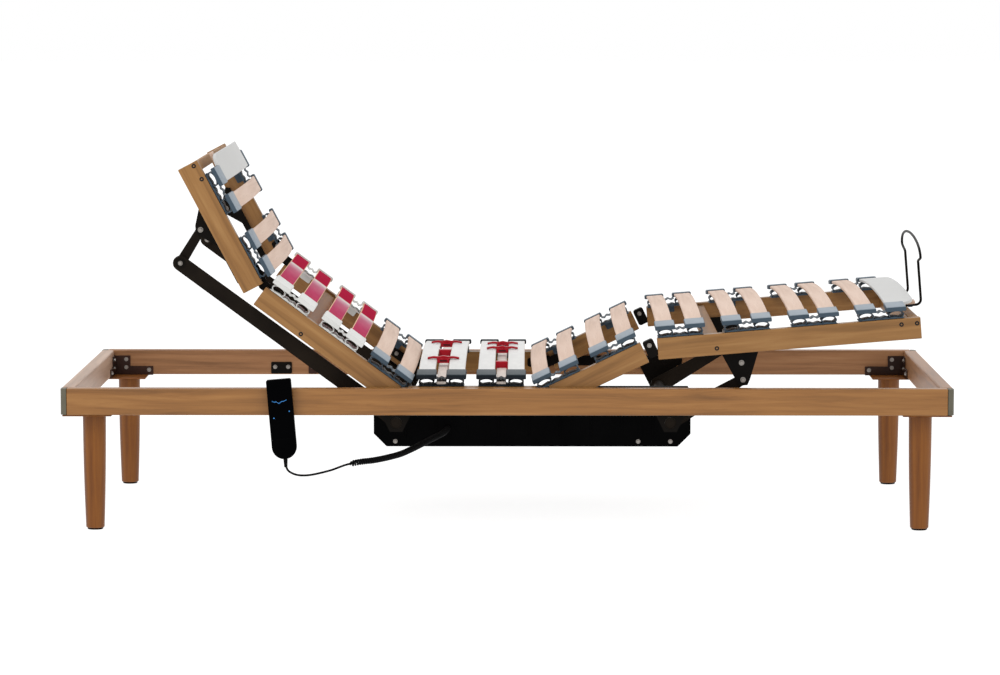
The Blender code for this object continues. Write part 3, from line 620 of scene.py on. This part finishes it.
def strip_outline():
    """The holder's foot: flat below, and thicker in a low wave between the two rings."""
    points = [(-STRIP_HALF, STRIP_LOW), (STRIP_HALF, STRIP_LOW), (STRIP_HALF - 0.001, STRIP_HIGH)]
    bridge = PAIR_HALF - 0.006
    for step in range(17):
        t = 1 - 2 * step / 16
        points.append((bridge * t, STRIP_HIGH + 0.0022 - 0.0012 * cos(3 * pi * t)))
    return points + [(-STRIP_HALF + 0.001, STRIP_HIGH)]


def link_outline():
    """The thin wavy web that joins a holder's two sleeves below the slats."""
    base = SLAT_LIFT - 0.0035
    reach = PAIR_HALF - CAP_WIDTH / 2 + 0.003
    steps = [1 - 2 * step / 14 for step in range(15)]
    upper = [(reach * t, base + 0.0012 + 0.0016 * cos(2 * pi * t)) for t in steps]
    lower = [(reach * t, base + 0.0016 * cos(2 * pi * t)) for t in reversed(steps)]
    return upper + lower


def holder_mesh(side):
    """A twin rubber holder: foot strip, web, and for each slat a ring, a neck and a cap."""
    low, high = sorted((side * RING_RANGE[0], side * RING_RANGE[1]))
    parts = [(prism("strip", [strip_outline()], low, high, 0.0004), 0)]
    parts.append((prism("link", [link_outline()], low + 0.004, high - 0.004, 0.0002), 0))
    for x in (-PAIR_HALF, PAIR_HALF):
        parts.append((prism("ring", ring_outlines(x), low + 0.001, high - 0.001, 0.0004), 0))
        parts.append((block("neck", (x - 0.011, low + 0.002, RING_FOOT + RING_HEIGHT - 0.0015),
                            (x + 0.011, high - 0.002, SLAT_LIFT + 0.003)), 0))
        for mesh, index in cap_mesh(side):
            parts.append((moved(mesh, Matrix.Translation((x, 0, 0))), index))
    inner = side * (RAIL_INNER - 0.0008)
    clip_y = sorted((inner, inner - side * CLIP_THICK))
    clip = slab("clip", -0.014, -CLIP_DEPTH, 0.014, STRIP_HIGH, 0.003, *clip_y, 0.0004)
    tongue_y = sorted((inner - side * 0.0002, side * (RING_RANGE[0] + 0.004)))
    bridge = block("clip_bridge", (-0.01, tongue_y[0], STRIP_LOW), (0.01, tongue_y[1], STRIP_HIGH))
    return joined(f"holder_{side}", parts + [(clip, 0), (bridge, 0)])


def end_plate_mesh(outward):
    """The white end slat: as wide as its caps at the ends, wider outward in the middle."""
    mesh = slat_mesh("end_plate", SLAT_WIDTH, cuts=90)
    tip, length = PLATE_TAPER
    for vertex in mesh.vertices:
        if vertex.co.x * outward > 0:
            share = min(1.0, max(0.0, (tip - abs(vertex.co.y)) / length))
            vertex.co.x += outward * PLATE_REACH * sqrt(1 - (1 - share) ** 2)
    return mesh


# Each holder's looks: its body and its caps' top skin; the paler top skin is painted light, and the seat's
# darker pair is painted shade.
HOLDER_LOOKS = {"holder_light": ("holder_slate", "holder_light"),
                "holder_white": ("holder_white", "holder_white"),
                "holder_shaded_top": ("holder_dark", "holder_shaded_top")}
PAIR_LOOKS = {"head": ("slat_wood", "holder_light"), "back": ("pink_slat", "holder_white"),
              "thigh": ("slat_wood", "holder_light"), "calf": ("slat_wood", "holder_light"),
              "seat": ("white_slat", "holder_shaded_top")}
PLAIN_SLAT = {look: slat_mesh("slat_" + look, SLAT_WIDTH)
              for look in ("slat_wood", "pink_slat", "white_slat")}
HOLDERS = {(look, side): holder_mesh(side) for look in HOLDER_LOOKS for _, side in SIDES}


def pair_origin(node, matrix):
    """Where a slat pair's middle meets the rails' top, in the section's flat frame."""
    low, high = local_box(node, matrix)
    return (low.x + high.x) / 2, low.z - 0.0003


def slat_pair(section, body, number, matrix):
    """Two slats in their two holders, all standing in for one CAD node."""
    node = f"{section}_slat_pair_{number}"
    x, top = pair_origin(node, matrix)
    middle = matrix @ Matrix.Translation((x, 0, top))
    look, holder = PAIR_LOOKS[section]
    if section == "back" and number == 3:
        look, holder = "slat_wood", "holder_light"
    for index, offset in enumerate((-PAIR_HALF, PAIR_HALF)):
        end = {("head", 1, 0): -1, ("calf", 4, 1): 1}.get((section, number, index))
        name = f"{section}_slat_{2 * number - 1 + index}"
        spot = matrix @ Matrix.Translation((x + offset, 0, top))
        if end:
            place(name, end_plate_mesh(end), spot, body, "white_slat", ("white_plate",), 0.0016)
            tongue(f"{section}_end_tongue", spot, end, body)
        else:
            place(name, PLAIN_SLAT[look], spot, body, look, (look,), 0.0018)
    for side_name, side in SIDES:
        piece = place(f"{section}_holder_{number}_{side_name}", HOLDERS[holder, side], middle, body,
                      "holder_dark", HOLDER_LOOKS[holder])
        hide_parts(node)
    if section == "seat":
        place(f"seat_lower_slat_{number}", slat_mesh("lower_slat", LOWER_WIDTH, LOWER_DROP), middle, body,
              "white_slat", ("pale_slat",), 0.0015)


def tongue(name, spot, end, body):
    """The small wooden tab that shows under the end plate's outer edge."""
    outer = end * (SLAT_WIDTH / 2 + PLATE_REACH + 0.006)
    inner = end * 0.01
    mesh = block(name, (min(outer, inner), TONGUE_Y[0], SLAT_LIFT - 0.0072),
                 (max(outer, inner), TONGUE_Y[1], SLAT_LIFT - 0.0002), 6)
    place(name, bend_to_bow(mesh), spot, body, "slat_wood", bevel=0.0015)


# Wooden frame

def outer_rails():
    """The side rails, shortened to make room for the corner caps, and the end rails' material."""
    setback = 0.014
    for side_name, side in SIDES:
        low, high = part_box(f"side_rail_{side_name}")
        mesh = block("side_rail", (low.x + setback, low.y, low.z), (high.x - setback, high.y, high.z))
        # The far rail gets a lighter copy of the same wood: painted light.
        rail = place(f"side_rail_{side_name}_wood", mesh, Matrix(), "frame", "frame_wood",
                     ("frame_wood" if side < 0 else "frame_wood_far_lit",), 0.0025)
        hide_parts(f"side_rail_{side_name}")
        for end_name, end in ENDS:
            corner_cap(end_name, end, side_name, side)
    for end_name, end in ENDS:
        # The end rails get lighter copies of the frame's wood, one for each end: painted light.
        repaint(f"end_rail_{end_name}", f"end_wood_{end_name}")


def corner_cap(end_name, end, side_name, side):
    """The moulded cap that closes a corner: square inward, with a rounded outer edge."""
    reach, radius, ease = 0.0135, 0.01, 0.0002
    outline = [(BED_HALF - reach, WIDTH_HALF), (BED_HALF - reach, WIDTH_HALF - RAIL_THICK),
               (BED_HALF - ease, WIDTH_HALF - RAIL_THICK)]
    for step in range(7):
        angle = pi / 2 * step / 6
        outline.append((BED_HALF - ease - radius * (1 - cos(angle)),
                        WIDTH_HALF - radius * (1 - sin(angle))))
    mesh = prism("corner_cap", [[(x, -y) for x, y in outline]], RAIL_BOTTOM + CORNER_EASE,
                 RAIL_TOP - CORNER_EASE, 0.0012)
    mesh = moved(mesh, Matrix.Diagonal((end, side, 1, 1)) @ Matrix.Rotation(pi / 2, 4, "X"))
    place(f"corner_cap_{end_name}_{side_name}", mesh, CENTRE, "frame", "corner_cap")


def leg_profile(height):
    """The leg's outline from foot to top: a slight barrel, with eased edges."""
    foot, top = LEG_RADII
    profile = [(0, 0.004), (foot - 0.0015, 0.004), (foot, 0.0055)]
    for step in range(1, 9):
        t = step / 9
        swell = 0.0012 * sin(pi * t)
        profile.append((foot + (top - foot) * t + swell, 0.0055 + (height - 0.0055) * t))
    return profile + [(top, height - 0.003), (top - 0.002, height - 0.0005), (0, height - 0.0005)]


def legs():
    """Turned legs on black glides, each under its corner bracket."""
    for end_name, end in ENDS:
        for side_name, side in SIDES:
            node = f"leg_{end_name}_{side_name}"
            low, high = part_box(node)
            height = high.z - 0.004
            spot = Matrix.Translation((end * LEG_X, MIDDLE_Y + side * LEG_Y, 0))
            leg = place(node + "_wood", lathe("leg", leg_profile(height)), spot, "frame", "leg_wood")
            glide = lathe("glide", ((0, 0), (0.0165, 0), (0.0178, 0.0015), (0.0178, 0.0045),
                                    (0, 0.0045)), 32)
            place(node + "_glide", glide, spot, "frame", "housing")
            bracket = corner_bracket(node, end, side, low, high)
            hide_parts(node)
            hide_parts(node)


def corner_bracket(node, end, side, low, high):
    """The pressed corner bracket: a plate under the rails and two L-shaped upright flanges."""
    corner = Vector((end * (BED_HALF - RAIL_THICK), side * (WIDTH_HALF - RAIL_THICK), 0))
    base = high.z - 0.003
    (arm, arm_rise), (upright, rise) = BRACKET_ARM, BRACKET_UPRIGHT
    corner_shape = [(0, 0), (arm, 0), (arm, arm_rise), (upright, arm_rise), (upright, rise), (0, rise)]
    plate = block("plate", (low.x, low.y - MIDDLE_Y, base), (high.x, high.y - MIDDLE_Y, high.z))
    parts = [(plate, 1)]
    inward = FLANGE_GAP + BRACKET_STEEL
    mirror = Matrix.Diagonal((-end, -side, 1, 1))
    for lie in (mirror, mirror @ SWAP_XY):
        flange = prism("flange", [corner_shape], FLANGE_GAP, inward)
        parts.append((moved(flange, Matrix.Translation((corner.x, corner.y, high.z - 0.001)) @ lie), 0))
    piece = place(node + "_bracket", joined("bracket", parts), CENTRE, "frame", "corner_bronze",
                  ("corner_bronze", "leg_wood"), 0.0008, 2)
    for number, (reach, up) in enumerate(BRACKET_BOLTS):
        point = Vector((corner.x - end * reach, corner.y - side * inward + MIDDLE_Y, high.z + up))
        fasten(f"{node}_bolt_x{number}", SMALL_BOLT, facing(point, (0, -side, 0)), "frame")
        point = Vector((corner.x - end * inward, corner.y - side * reach + MIDDLE_Y, high.z + up))
        fasten(f"{node}_bolt_y{number}", SMALL_BOLT, facing(point, (-end, 0, 0)), "frame")
    return piece


def section_frames():
    """Planed rails with just-eased edges, drawn in each section's own flat frame."""
    rails = [(f"{section}_rail_{side}", section) for section in ("back", "head", "thigh", "calf")
             for side, _ in SIDES]
    rails += [(f"seat_rail_{side}", "frame") for side, _ in SIDES]
    boards = (("back_cross_board", "back"), ("calf_cross_board", "calf"), ("head_end_rail", "head"),
              ("calf_end_rail", "calf"))
    for node, section in rails:
        solid_wood(node, section, "section_wood")
    for node, section in boards:
        solid_wood(node, section, "board_wood")


def solid_wood(node, section, look):
    """A rail or board drawn over its CAD node."""
    matrix = section_matrix(section)
    low, high = local_box(node, matrix)
    grain = place(node + "_wood", block(node, low, high), matrix, section, "section_wood", (look,), 0.0014)
    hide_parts(node)


def rail_screws():
    """Dark screws through the section rails' outer faces, into the cross boards."""
    spots = {"head": ((-0.3085, -0.012), (-0.2745, -0.01)), "back": ((-0.2605, -0.0386),),
             "calf": ((0.149, -0.033), (0.565, -0.013), (0.6, -0.013))}
    for section, places in spots.items():
        matrix = section_matrix(section)
        low, high = local_box(f"{section}_rail_near", matrix)
        for side_name, side in SIDES:
            y = -side * low.y
            for number, (x, drop) in enumerate(places):
                spot = matrix @ facing(Vector((x, y, high.z + drop)), (0, side, 0))
                fasten(f"{section}_screw_{side_name}_{number}", SCREW, spot, section, "screw_dark")


# Steelwork

def through_bolts(prefix, body, points, y, half_grip, faces=(("head", 1), ("nut", -1))):
    """Bolts through a plate at (x, z) points in the frame: a head on its outside, a nut inside."""
    for side_name, side in SIDES:
        for number, (x, z) in enumerate(points):
            for face, way in faces:
                spot = Vector((x, MIDDLE_Y + side * (y + way * half_grip), z))
                fasten(f"{prefix}_{face}_{side_name}_{number}", BOLT, facing(spot, (0, side * way, 0)), body)


REPAINTED = {"arm_steel": ("back_lift_shaft", "leg_lift_shaft", "head_link_near", "head_link_far"),
             "steel": [f"{node}_{side}" for node in ("chassis_side", "head_bracket", "calf_bracket")
                       for side, _ in SIDES],
             "drive_metal": ("back_spindle_drive", "leg_spindle_drive"),
             "block_plastic": ("back_push_block", "leg_push_block")}


def steelwork():
    """Materials of the CAD's own arms, brackets and drives."""
    for look, nodes in REPAINTED.items():
        for node in nodes:
            repaint(node, look)


def plate_span(node):
    """A steel plate's middle, as its distance from the bed's middle, and its half thickness."""
    low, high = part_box(node)
    return abs((low.y + high.y) / 2 - MIDDLE_Y), (high.y - low.y) / 2


def pivot_bolts():
    """The pins that the arms, links and brackets turn on, and the brackets' fixing bolts."""
    link = joint_place("head_link_pivot")
    link_y, link_half = plate_span("head_link_far")
    bracket_y, bracket_half = plate_span("head_bracket_far")
    through_bolts("link_pin", "head_link", ((link.x, link.z),), (link_y + bracket_y) / 2,
                  (bracket_y - link_y) / 2 + bracket_half)
    through_bolts("arm_pin", "head_link", ((ARM_TIP.x, ARM_TIP.z),), (link_y + ARM_PLANE) / 2,
                  (ARM_PLANE - link_y) / 2 + link_half)
    through_bolts("calf_pin", "leg_lift", ((CALF_PIN.x, CALF_PIN.z),), (ARM_PLANE + bracket_y) / 2,
                  (bracket_y - ARM_PLANE) / 2 + bracket_half)
    through_bolts("calf_plate", "calf", ((CALF_PIN.x - 0.0035, CALF_PIN.z + 0.0385),), bracket_y,
                  bracket_half)
    hanger_y, hanger_half = plate_span("chassis_side_far")
    through_bolts("hanger", "frame", HANGER_BOLTS, hanger_y, hanger_half, (("head", 1),))
    for name, first, body in (("arm_boss", ARM_TIP, "back_lift"), ("lever_boss", CALF_PIN, "leg_lift")):
        for side_name, side in SIDES:
            boss = lathe(name, ((0.0055, 0), (0.0105, 0), (0.0105, 0.0025), (0.0055, 0.0025)), 28)
            spot = Vector((first.x, MIDDLE_Y + side * (ARM_PLANE + link_half), first.z))
            place(f"{name}_{side_name}", boss, facing(spot, (0, side, 0)), body, "steel")


def hinge_plates():
    """The strap hinges on the rails' inner faces, one leaf on each section, with their bolts."""
    joints = {"back_hinge": ("frame", "back"), "head_hinge": ("back", "head"),
              "thigh_hinge": ("frame", "thigh")}
    for joint, pair in joints.items():
        pivot = joint_place(joint)
        for leaf, section in enumerate(pair):
            matrix = section_matrix(section)
            hinge = matrix.inverted() @ pivot
            toward = 1 if (leaf == 0) == (joint in ("back_hinge", "head_hinge")) else -1
            node = {"frame": "seat_rail_near"}.get(section, f"{section}_rail_near")
            low, high = local_box(node, matrix)
            for side_name, side in SIDES:
                leaf_y = LEAF_FACE - LEAF_STEP * leaf
                x0, x1 = sorted((hinge.x - toward * 0.008, hinge.x + toward * 0.05))
                z0 = max(low.z + 0.008, min(hinge.z, high.z) - 0.012)
                mesh = slab("leaf", x0, z0, x1, z0 + LEAF_TALL, 0.006, side * leaf_y - 0.001,
                            side * leaf_y + 0.001, 0.0003)
                place(f"{joint}_{section}_leaf_{side_name}", mesh, matrix, section, "steel")
                spot = matrix @ facing(Vector((hinge.x + toward * 0.036, side * (leaf_y - 0.001),
                                               z0 + LEAF_TALL / 2)), (0, -side, 0))
                fasten(f"{joint}_{section}_leaf_bolt_{side_name}", SMALL_BOLT, spot, section)


def knee_plates():
    """The upright plate at the knee, standing in the gap between the thigh and calf rails."""
    matrix = section_matrix("thigh")
    pivot = matrix.inverted() @ joint_place("calf_hinge")
    for side_name, side in SIDES:
        faces = [side * face for face in KNEE_FACES]
        mesh = slab("knee", pivot.x - KNEE_HALF, pivot.z - 0.024, pivot.x + KNEE_HALF, pivot.z + 0.016,
                    0.006, min(faces), max(faces), 0.0008)
        place(f"knee_plate_{side_name}", mesh, matrix, "thigh", "steel")
        for face, y, way in (("inner", faces[0], -side), ("outer", faces[1], side)):
            spot = matrix @ facing(Vector((pivot.x, y, pivot.z + 0.004)), (0, way, 0))
            fasten(f"knee_bolt_{face}_{side_name}", SMALL_BOLT, spot, "thigh")


def rail_plates():
    """The two small plates screwed on the far rail's inner face."""
    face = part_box("side_rail_far")[0].y
    front = face - 0.0028
    for name, x0, x1, look, bolts in RAIL_PLATES:
        mesh = slab(name, x0, RAIL_BOTTOM + 0.002, x1, RAIL_BOTTOM + 0.031, 0.003, front, face - 0.0002,
                    0.0005)
        place(f"{name}_plate", mesh, Matrix(), "frame", "steel", (look,))
        for number, x in enumerate(bolts):
            fasten(f"{name}_plate_bolt_{number}", SMALL_BOLT,
                   facing(Vector((x, front, RAIL_BOTTOM + 0.019)), (0, -1, 0)), "frame")


# Motor housing

def housing():
    """The tray's and the lid's material, and their trims."""
    for node in ("housing_tray", "housing_lid"):
        repaint(node, "housing")
    trims()


def trims():
    """Raised ribs, low bumps and small bolts on the housing."""
    low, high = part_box("housing_tray")
    near, far = low.y, high.y
    for number, x in enumerate(HOUSING_BOLTS):
        fasten(f"housing_bolt_{number}", SMALL_BOLT,
               facing(Vector((x, near - 0.0001, low.z + 0.012)), (0, -1, 0)), "frame")
    for number, x in enumerate(HOUSING_BUMPS):
        mesh = slab("bump", x, low.z - 0.0025, x + 0.04, low.z + 0.006, 0.002, near + 0.02, far - 0.02,
                    0.0008)
        place(f"housing_bump_{number}", mesh, Matrix(), "frame", "housing")
    for number in range(RIB_COUNT):
        x = RIB_START + RIB_PITCH * number
        mesh = slab("rib", x, low.z + 0.022, x + 0.004, high.z - 0.006, 0.0015, near - 0.0016,
                    near + 0.001, 0.0004)
        place(f"housing_rib_{number}", mesh, Matrix(), "frame", "housing")
    seam_low, seam_high = high.z - 0.004, high.z + 0.004
    for tag, y0, y1 in (("near", near - 0.0022, near + 0.001), ("far", far - 0.001, far + 0.0022)):
        mesh = slab("flange", HOUSING_FLANGE[0], seam_low, HOUSING_FLANGE[1], seam_high, 0.0015, y0, y1,
                    0.0005)
        place(f"housing_flange_{tag}", mesh, Matrix(), "frame", "housing")


# Mattress hoop, handset, cord and sliders

def wire(name, route, radius, rounds, look):
    """A round wire through a line of points."""
    curve = bpy.data.curves.new(name, "CURVE")
    curve.dimensions = "3D"
    curve.bevel_depth = radius
    curve.bevel_resolution = rounds
    curve.use_fill_caps = True
    spline = curve.splines.new("POLY")
    spline.points.add(len(route) - 1)
    for point, spot in zip(spline.points, route):
        point.co = (*spot, 1.0)
    spline.use_smooth = True
    curve.materials.append(MATERIALS[look])
    return new_object(name, curve)


def retainer():
    """The wire hoop, drawn again with round bends through the CAD wire's own places."""
    matrix = section_matrix("calf")
    low, high = local_box("mattress_retainer", matrix)
    radius = 0.003
    foot_x, wire_x = low.x, high.x - radius
    z0, z1 = low.z + radius, high.z - radius
    half, wide = 0.155, high.y - radius
    corner, neck, spring = 0.012, z0 + 0.099, z0 + 0.114
    right = [(foot_x, half, z0), (wire_x - corner, half, z0)]
    right += [(wire_x - corner + corner * sin(a), half, z0 + corner - corner * cos(a))
              for a in (pi / 12 * step for step in range(1, 7))]
    for step in range(13):
        t = step / 12
        right.append((wire_x, half + (wide - half) * t * t * (3 - 2 * t), neck + (spring - neck) * t))
    right += [(wire_x, wide * cos(a), spring + (z1 - spring) * sin(a) ** 0.9)
              for a in (pi / 36 * step for step in range(1, 18))]
    right.append((wire_x, 0.0, z1))
    route = right + [(x, -y, z) for x, y, z in reversed(right[:-1])]
    hoop = wire("mattress_hoop", route, radius, 5, "steel")
    hoop.matrix_world = matrix
    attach(hoop, "calf")
    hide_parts("mattress_retainer")
    for side_name, side in SIDES:
        mesh = slab("hoop_clip", foot_x + 0.004, low.z - 0.001, foot_x + 0.016, low.z + 0.0072, 0.002,
                    side * half - 0.006, side * half + 0.006, 0.0006)
        place(f"hoop_clip_{side_name}", mesh, matrix, "calf", "holder_dark")


def face_mark(name, outline, matrix, look):
    """A flat mark on the handset's glass, standing a hair above it."""
    front = -HANDSET_HALF.y
    mark = prism(name, [outline], front - 0.0003, front + 0.0004)
    place(name, mark, matrix, "frame", look if look == "key_glow" else "handset_gloss", (look,))


def handset():
    """The handset hanging on the near rail, with a round foot, and the marks on its glass."""
    low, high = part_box("handset")
    matrix = Matrix.Translation((low + high) / 2) @ Matrix.Rotation(radians(HANDSET_TILT), 4, "Y")
    wide, thick, tall = HANDSET_HALF
    outline = [(-wide + 0.003, tall), (wide - 0.003, tall), (wide, tall - 0.003)]
    outline += [(wide * cos(a), wide - tall + wide * sin(a)) for a in (-pi / 20 * step for step in range(21))]
    outline.append((-wide, tall - 0.003))
    body = place("handset_body", prism("handset", [outline[::-1]], -thick, thick, 0.0028), matrix, "frame",
                 "handset_gloss")
    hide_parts("handset")
    zigzag = ((-0.018, 0.0425), (-0.0135, 0.04), (-0.0085, 0.0405), (-0.003, 0.036), (0.0025, 0.04),
              (0.008, 0.0405), (0.0145, 0.043))
    upper = [(x, z + 0.0006) for x, z in zigzag]
    lower = [(x, z - 0.0006) for x, z in reversed(zigzag)]
    face_mark("handset_bed_mark", upper + lower, matrix, "key_glow")
    for number, (x, z) in enumerate(((0.0185, 0.017), (-0.017, 0.004))):
        face_mark(f"handset_touch_{number}", circle(x, z, 0.0014, 16), matrix, "key_glow")
    line = rounded_rectangle(-0.017, -0.0446, 0.017, -0.0438, 0.0003)
    face_mark("handset_line", line, matrix, "housing")
    repaint("handset_hook", "housing")


# The lead's and the curled part's lines as (x, y from the middle, z)
LEAD_ROUTE = (
    (-0.495, -0.4632, 0.164), (-0.4945, -0.4632, 0.156), (-0.489, -0.463, 0.142),
    (-0.472, -0.462, 0.133), (-0.452, -0.46, 0.131), (-0.43, -0.458, 0.1335),
    (-0.396, -0.455, 0.1415), (-0.374, -0.4528, 0.1492), (-0.364, -0.4505, 0.1527),
    (-0.354, -0.448, 0.1552),
)
COIL_ROUTE = (
    (-0.3535, -0.4479, 0.1553), (-0.328, -0.4405, 0.1592), (-0.298, -0.421, 0.1605),
    (-0.268, -0.39, 0.163), (-0.242, -0.355, 0.166), (-0.22, -0.315, 0.171),
    (-0.2, -0.27, 0.176), (-0.175, -0.215, 0.183), (-0.15, -0.16, 0.19),
    (-0.142, -0.12, 0.193), (-0.14, -0.086, 0.194),
)


def smooth_route(points, steps):
    """A Catmull-Rom curve through the points."""
    route = [Vector(point) + Vector((0, MIDDLE_Y, 0)) for point in points]
    ends = [2 * route[0] - route[1]] + route + [2 * route[-1] - route[-2]]
    curve = []
    for a, b, c, d in zip(ends, ends[1:], ends[2:], ends[3:]):
        for step in range(steps):
            t = step / steps
            curve.append(0.5 * (2 * b + (c - a) * t + (2 * a - 5 * b + 4 * c - d) * t ** 2
                                + (3 * b - a - 3 * c + d) * t ** 3))
    return curve + [route[-1]]


def even_points(points, count):
    """The same line with its points an equal way apart."""
    lengths = [0.0]
    for first, second in zip(points, points[1:]):
        lengths.append(lengths[-1] + (second - first).length)
    table = np.array([tuple(point) for point in points])
    spots = np.linspace(0, lengths[-1], count)
    return [Vector(tuple(np.interp(spot, lengths, table[:, axis]) for axis in range(3)))
            for spot in spots], lengths[-1]


def curl(route):
    """A helix round a line: it opens from the line at the start and closes on it at the end."""
    fine, length = even_points(route, 400)
    turns = round(length / CURL_PITCH)
    steps = turns * CURL_POINTS
    spine, _ = even_points(fine, steps + 1)
    points = []
    side = Vector((0, 0, 1))
    for number, spot in enumerate(spine):
        ahead = spine[min(number + 1, steps)] - spine[max(number - 1, 0)]
        along = ahead.normalized()
        side = (side - along * side.dot(along)).normalized()
        other = along.cross(side)
        share = min(1.0, number / (CURL_POINTS * 1.5), (steps - number) / (CURL_POINTS * 1.5))
        angle = 2 * pi * number / CURL_POINTS
        points.append(spot + CURL_RADIUS * share * (side * cos(angle) + other * sin(angle)))
    return points


def cord():
    """The handset's lead and curled cord in one wire, and the relief where it leaves the handset."""
    lead = smooth_route(LEAD_ROUTE, 6)
    coil = smooth_route(COIL_ROUTE, 10)
    route = lead + curl(coil)
    piece = wire("handset_cord", route, CORD_DIAMETER / 2, 3, "cord_rubber")
    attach(piece, "frame")
    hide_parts("handset_lead", "handset_coil")
    relief = lathe("cord_relief", ((0, 0), (0.0048, 0), (0.0046, 0.004), (0.0036, 0.018), (0, 0.018)), 20)
    place("handset_cord_relief", relief, facing(route[0] + Vector((0, 0, 0.004)), (0.04, 0, -1)), "frame",
          "cord_rubber")


def slider_mesh(name, depth):
    """A sliding clip from its top down: two slim arms, a block between the slats and its recess."""
    points = [(ARM_REACH * t, 0.0012 * cos(3.0 * pi * t) * (1 - abs(t)) - 0.0018 * t ** 4)
              for t in (-1 + step / 10 for step in range(21))]
    upper = [(x, z + 0.0034 - 0.0008 * (x / ARM_REACH) ** 2) for x, z in points]
    lower = [(x, z - 0.0022 + 0.0008 * (x / ARM_REACH) ** 2) for x, z in reversed(points)]
    arms = prism(name + "_arms", [upper[::-1] + lower[::-1]], -0.0062, 0.0062, 0.0014)
    stem = block(name + "_stem", (-SLIDER_HALF, -0.0125, -depth), (SLIDER_HALF, 0.0125, -0.0012))
    shade = block(name + "_recess", (-0.0085, -0.0129, -depth * 0.72), (0.0085, -0.008, -0.0042))
    ridge = block(name + "_ridge", (-0.0105, -0.003, -0.0015), (0.0105, 0.003, 0.0016))
    top = max(vertex.co.z for vertex in arms.vertices)
    parts = [(arms, 0), (stem, 0), (ridge, 0), (shade, 1)]
    return joined(name, [(moved(mesh, Matrix.Translation((0, 0, -top))), index) for mesh, index in parts])


def sliders():
    """The red firmness sliders, drawn over their CAD nodes."""
    for name in ("slider_1_near", "slider_1_far", "slider_2_near", "slider_2_far"):
        low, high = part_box(name)
        spot = Matrix.Translation(((low.x + high.x) / 2, (low.y + high.y) / 2, high.z + 0.001))
        piece = place(name + "_clip", slider_mesh(name, high.z - low.z - 0.004), spot, name, "slider_red",
                      ("slider_red", "slider_shade"), 0.0007, 2)
        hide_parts(name)


def armless_clips():
    """The plain firmness clips that hold the seat's lower slat to the pair above it."""
    for number, (node, y) in enumerate((("seat_slat_pair_1", 0.03), ("seat_slat_pair_2", -0.2)), 1):
        low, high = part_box(node)
        rise = SLAT_BOW * (1 - (y / SLAT_HALF) ** 2)
        base = RAIL_TOP + SLAT_LIFT + rise
        x = (low.x + high.x) / 2
        mesh = block("clip", (-SLIDER_HALF, -0.0115, -0.012), (SLIDER_HALF, 0.0115, 0.0052))
        place(f"seat_clip_{number}", mesh, Matrix.Translation((x, MIDDLE_Y + y, base)), "frame",
              "slider_red", bevel=0.0015)


# Studio

def studio():
    """White paper floor, even white surround and soft lamps."""
    floor = new_object("floor", block("floor", (-FLOOR_HALF, -FLOOR_HALF, -0.02),
                                      (FLOOR_HALF, FLOOR_HALF, 0.0)))
    tree, shader = shader_material("floor_paper")
    fine = noise(tree, coordinates(tree, (1, 1, 1)), 3.0, 2.0)
    tree.links.new(ramp(tree, fine, ((0.3, (0.19, 0.19, 0.19)), (0.7, (0.21, 0.21, 0.21)))),
                   shader.inputs["Base Color"])
    set_inputs(shader, {"Roughness": 0.9, "Emission Color": WHITE, "Emission Strength": FLOOR_GLOW})
    floor.data.materials.append(MATERIALS["floor_paper"])
    world = bpy.data.worlds.new("studio")
    world.use_nodes = True
    set_inputs(world.node_tree.nodes["Background"], {"Color": WHITE, "Strength": 1.0})
    bpy.context.scene.world = world
    bpy.context.scene.view_settings.view_transform = "Standard"
    for name, spot, size, power in LAMPS:
        lamp = bpy.data.lights.new(name, "AREA")
        lamp.size = size
        lamp.energy = power
        holder = new_object(name, lamp)
        holder.location = spot
        holder.rotation_euler = (Vector((0, 0, 0.3)) - Vector(spot)).to_track_quat("-Z", "Y").to_euler()


def camera():
    """The photograph's long lens, low in front of the bed."""
    lens = bpy.data.cameras.new("camera")
    lens.lens = LENS
    lens.sensor_width = SENSOR_WIDTH
    lens.clip_end = 60.0
    holder = new_object("camera", lens)
    holder.location = CAMERA_PLACE
    holder.rotation_euler = (radians(90 - CAMERA_PITCH), 0, radians(CAMERA_YAW))
    bpy.context.scene.camera = holder


camera()
cord()
studio()
outer_rails()
legs()
section_frames()
rail_screws()
steelwork()
pivot_bolts()
hinge_plates()
knee_plates()
rail_plates()
housing()
for section, count in (("head", 2), ("back", 3), ("seat", 2), ("thigh", 2), ("calf", 4)):
    body = "frame" if section == "seat" else section
    for number in range(1, count + 1):
        slat_pair(section, body, number, section_matrix(body))
retainer()
handset()
sliders()
armless_clips()
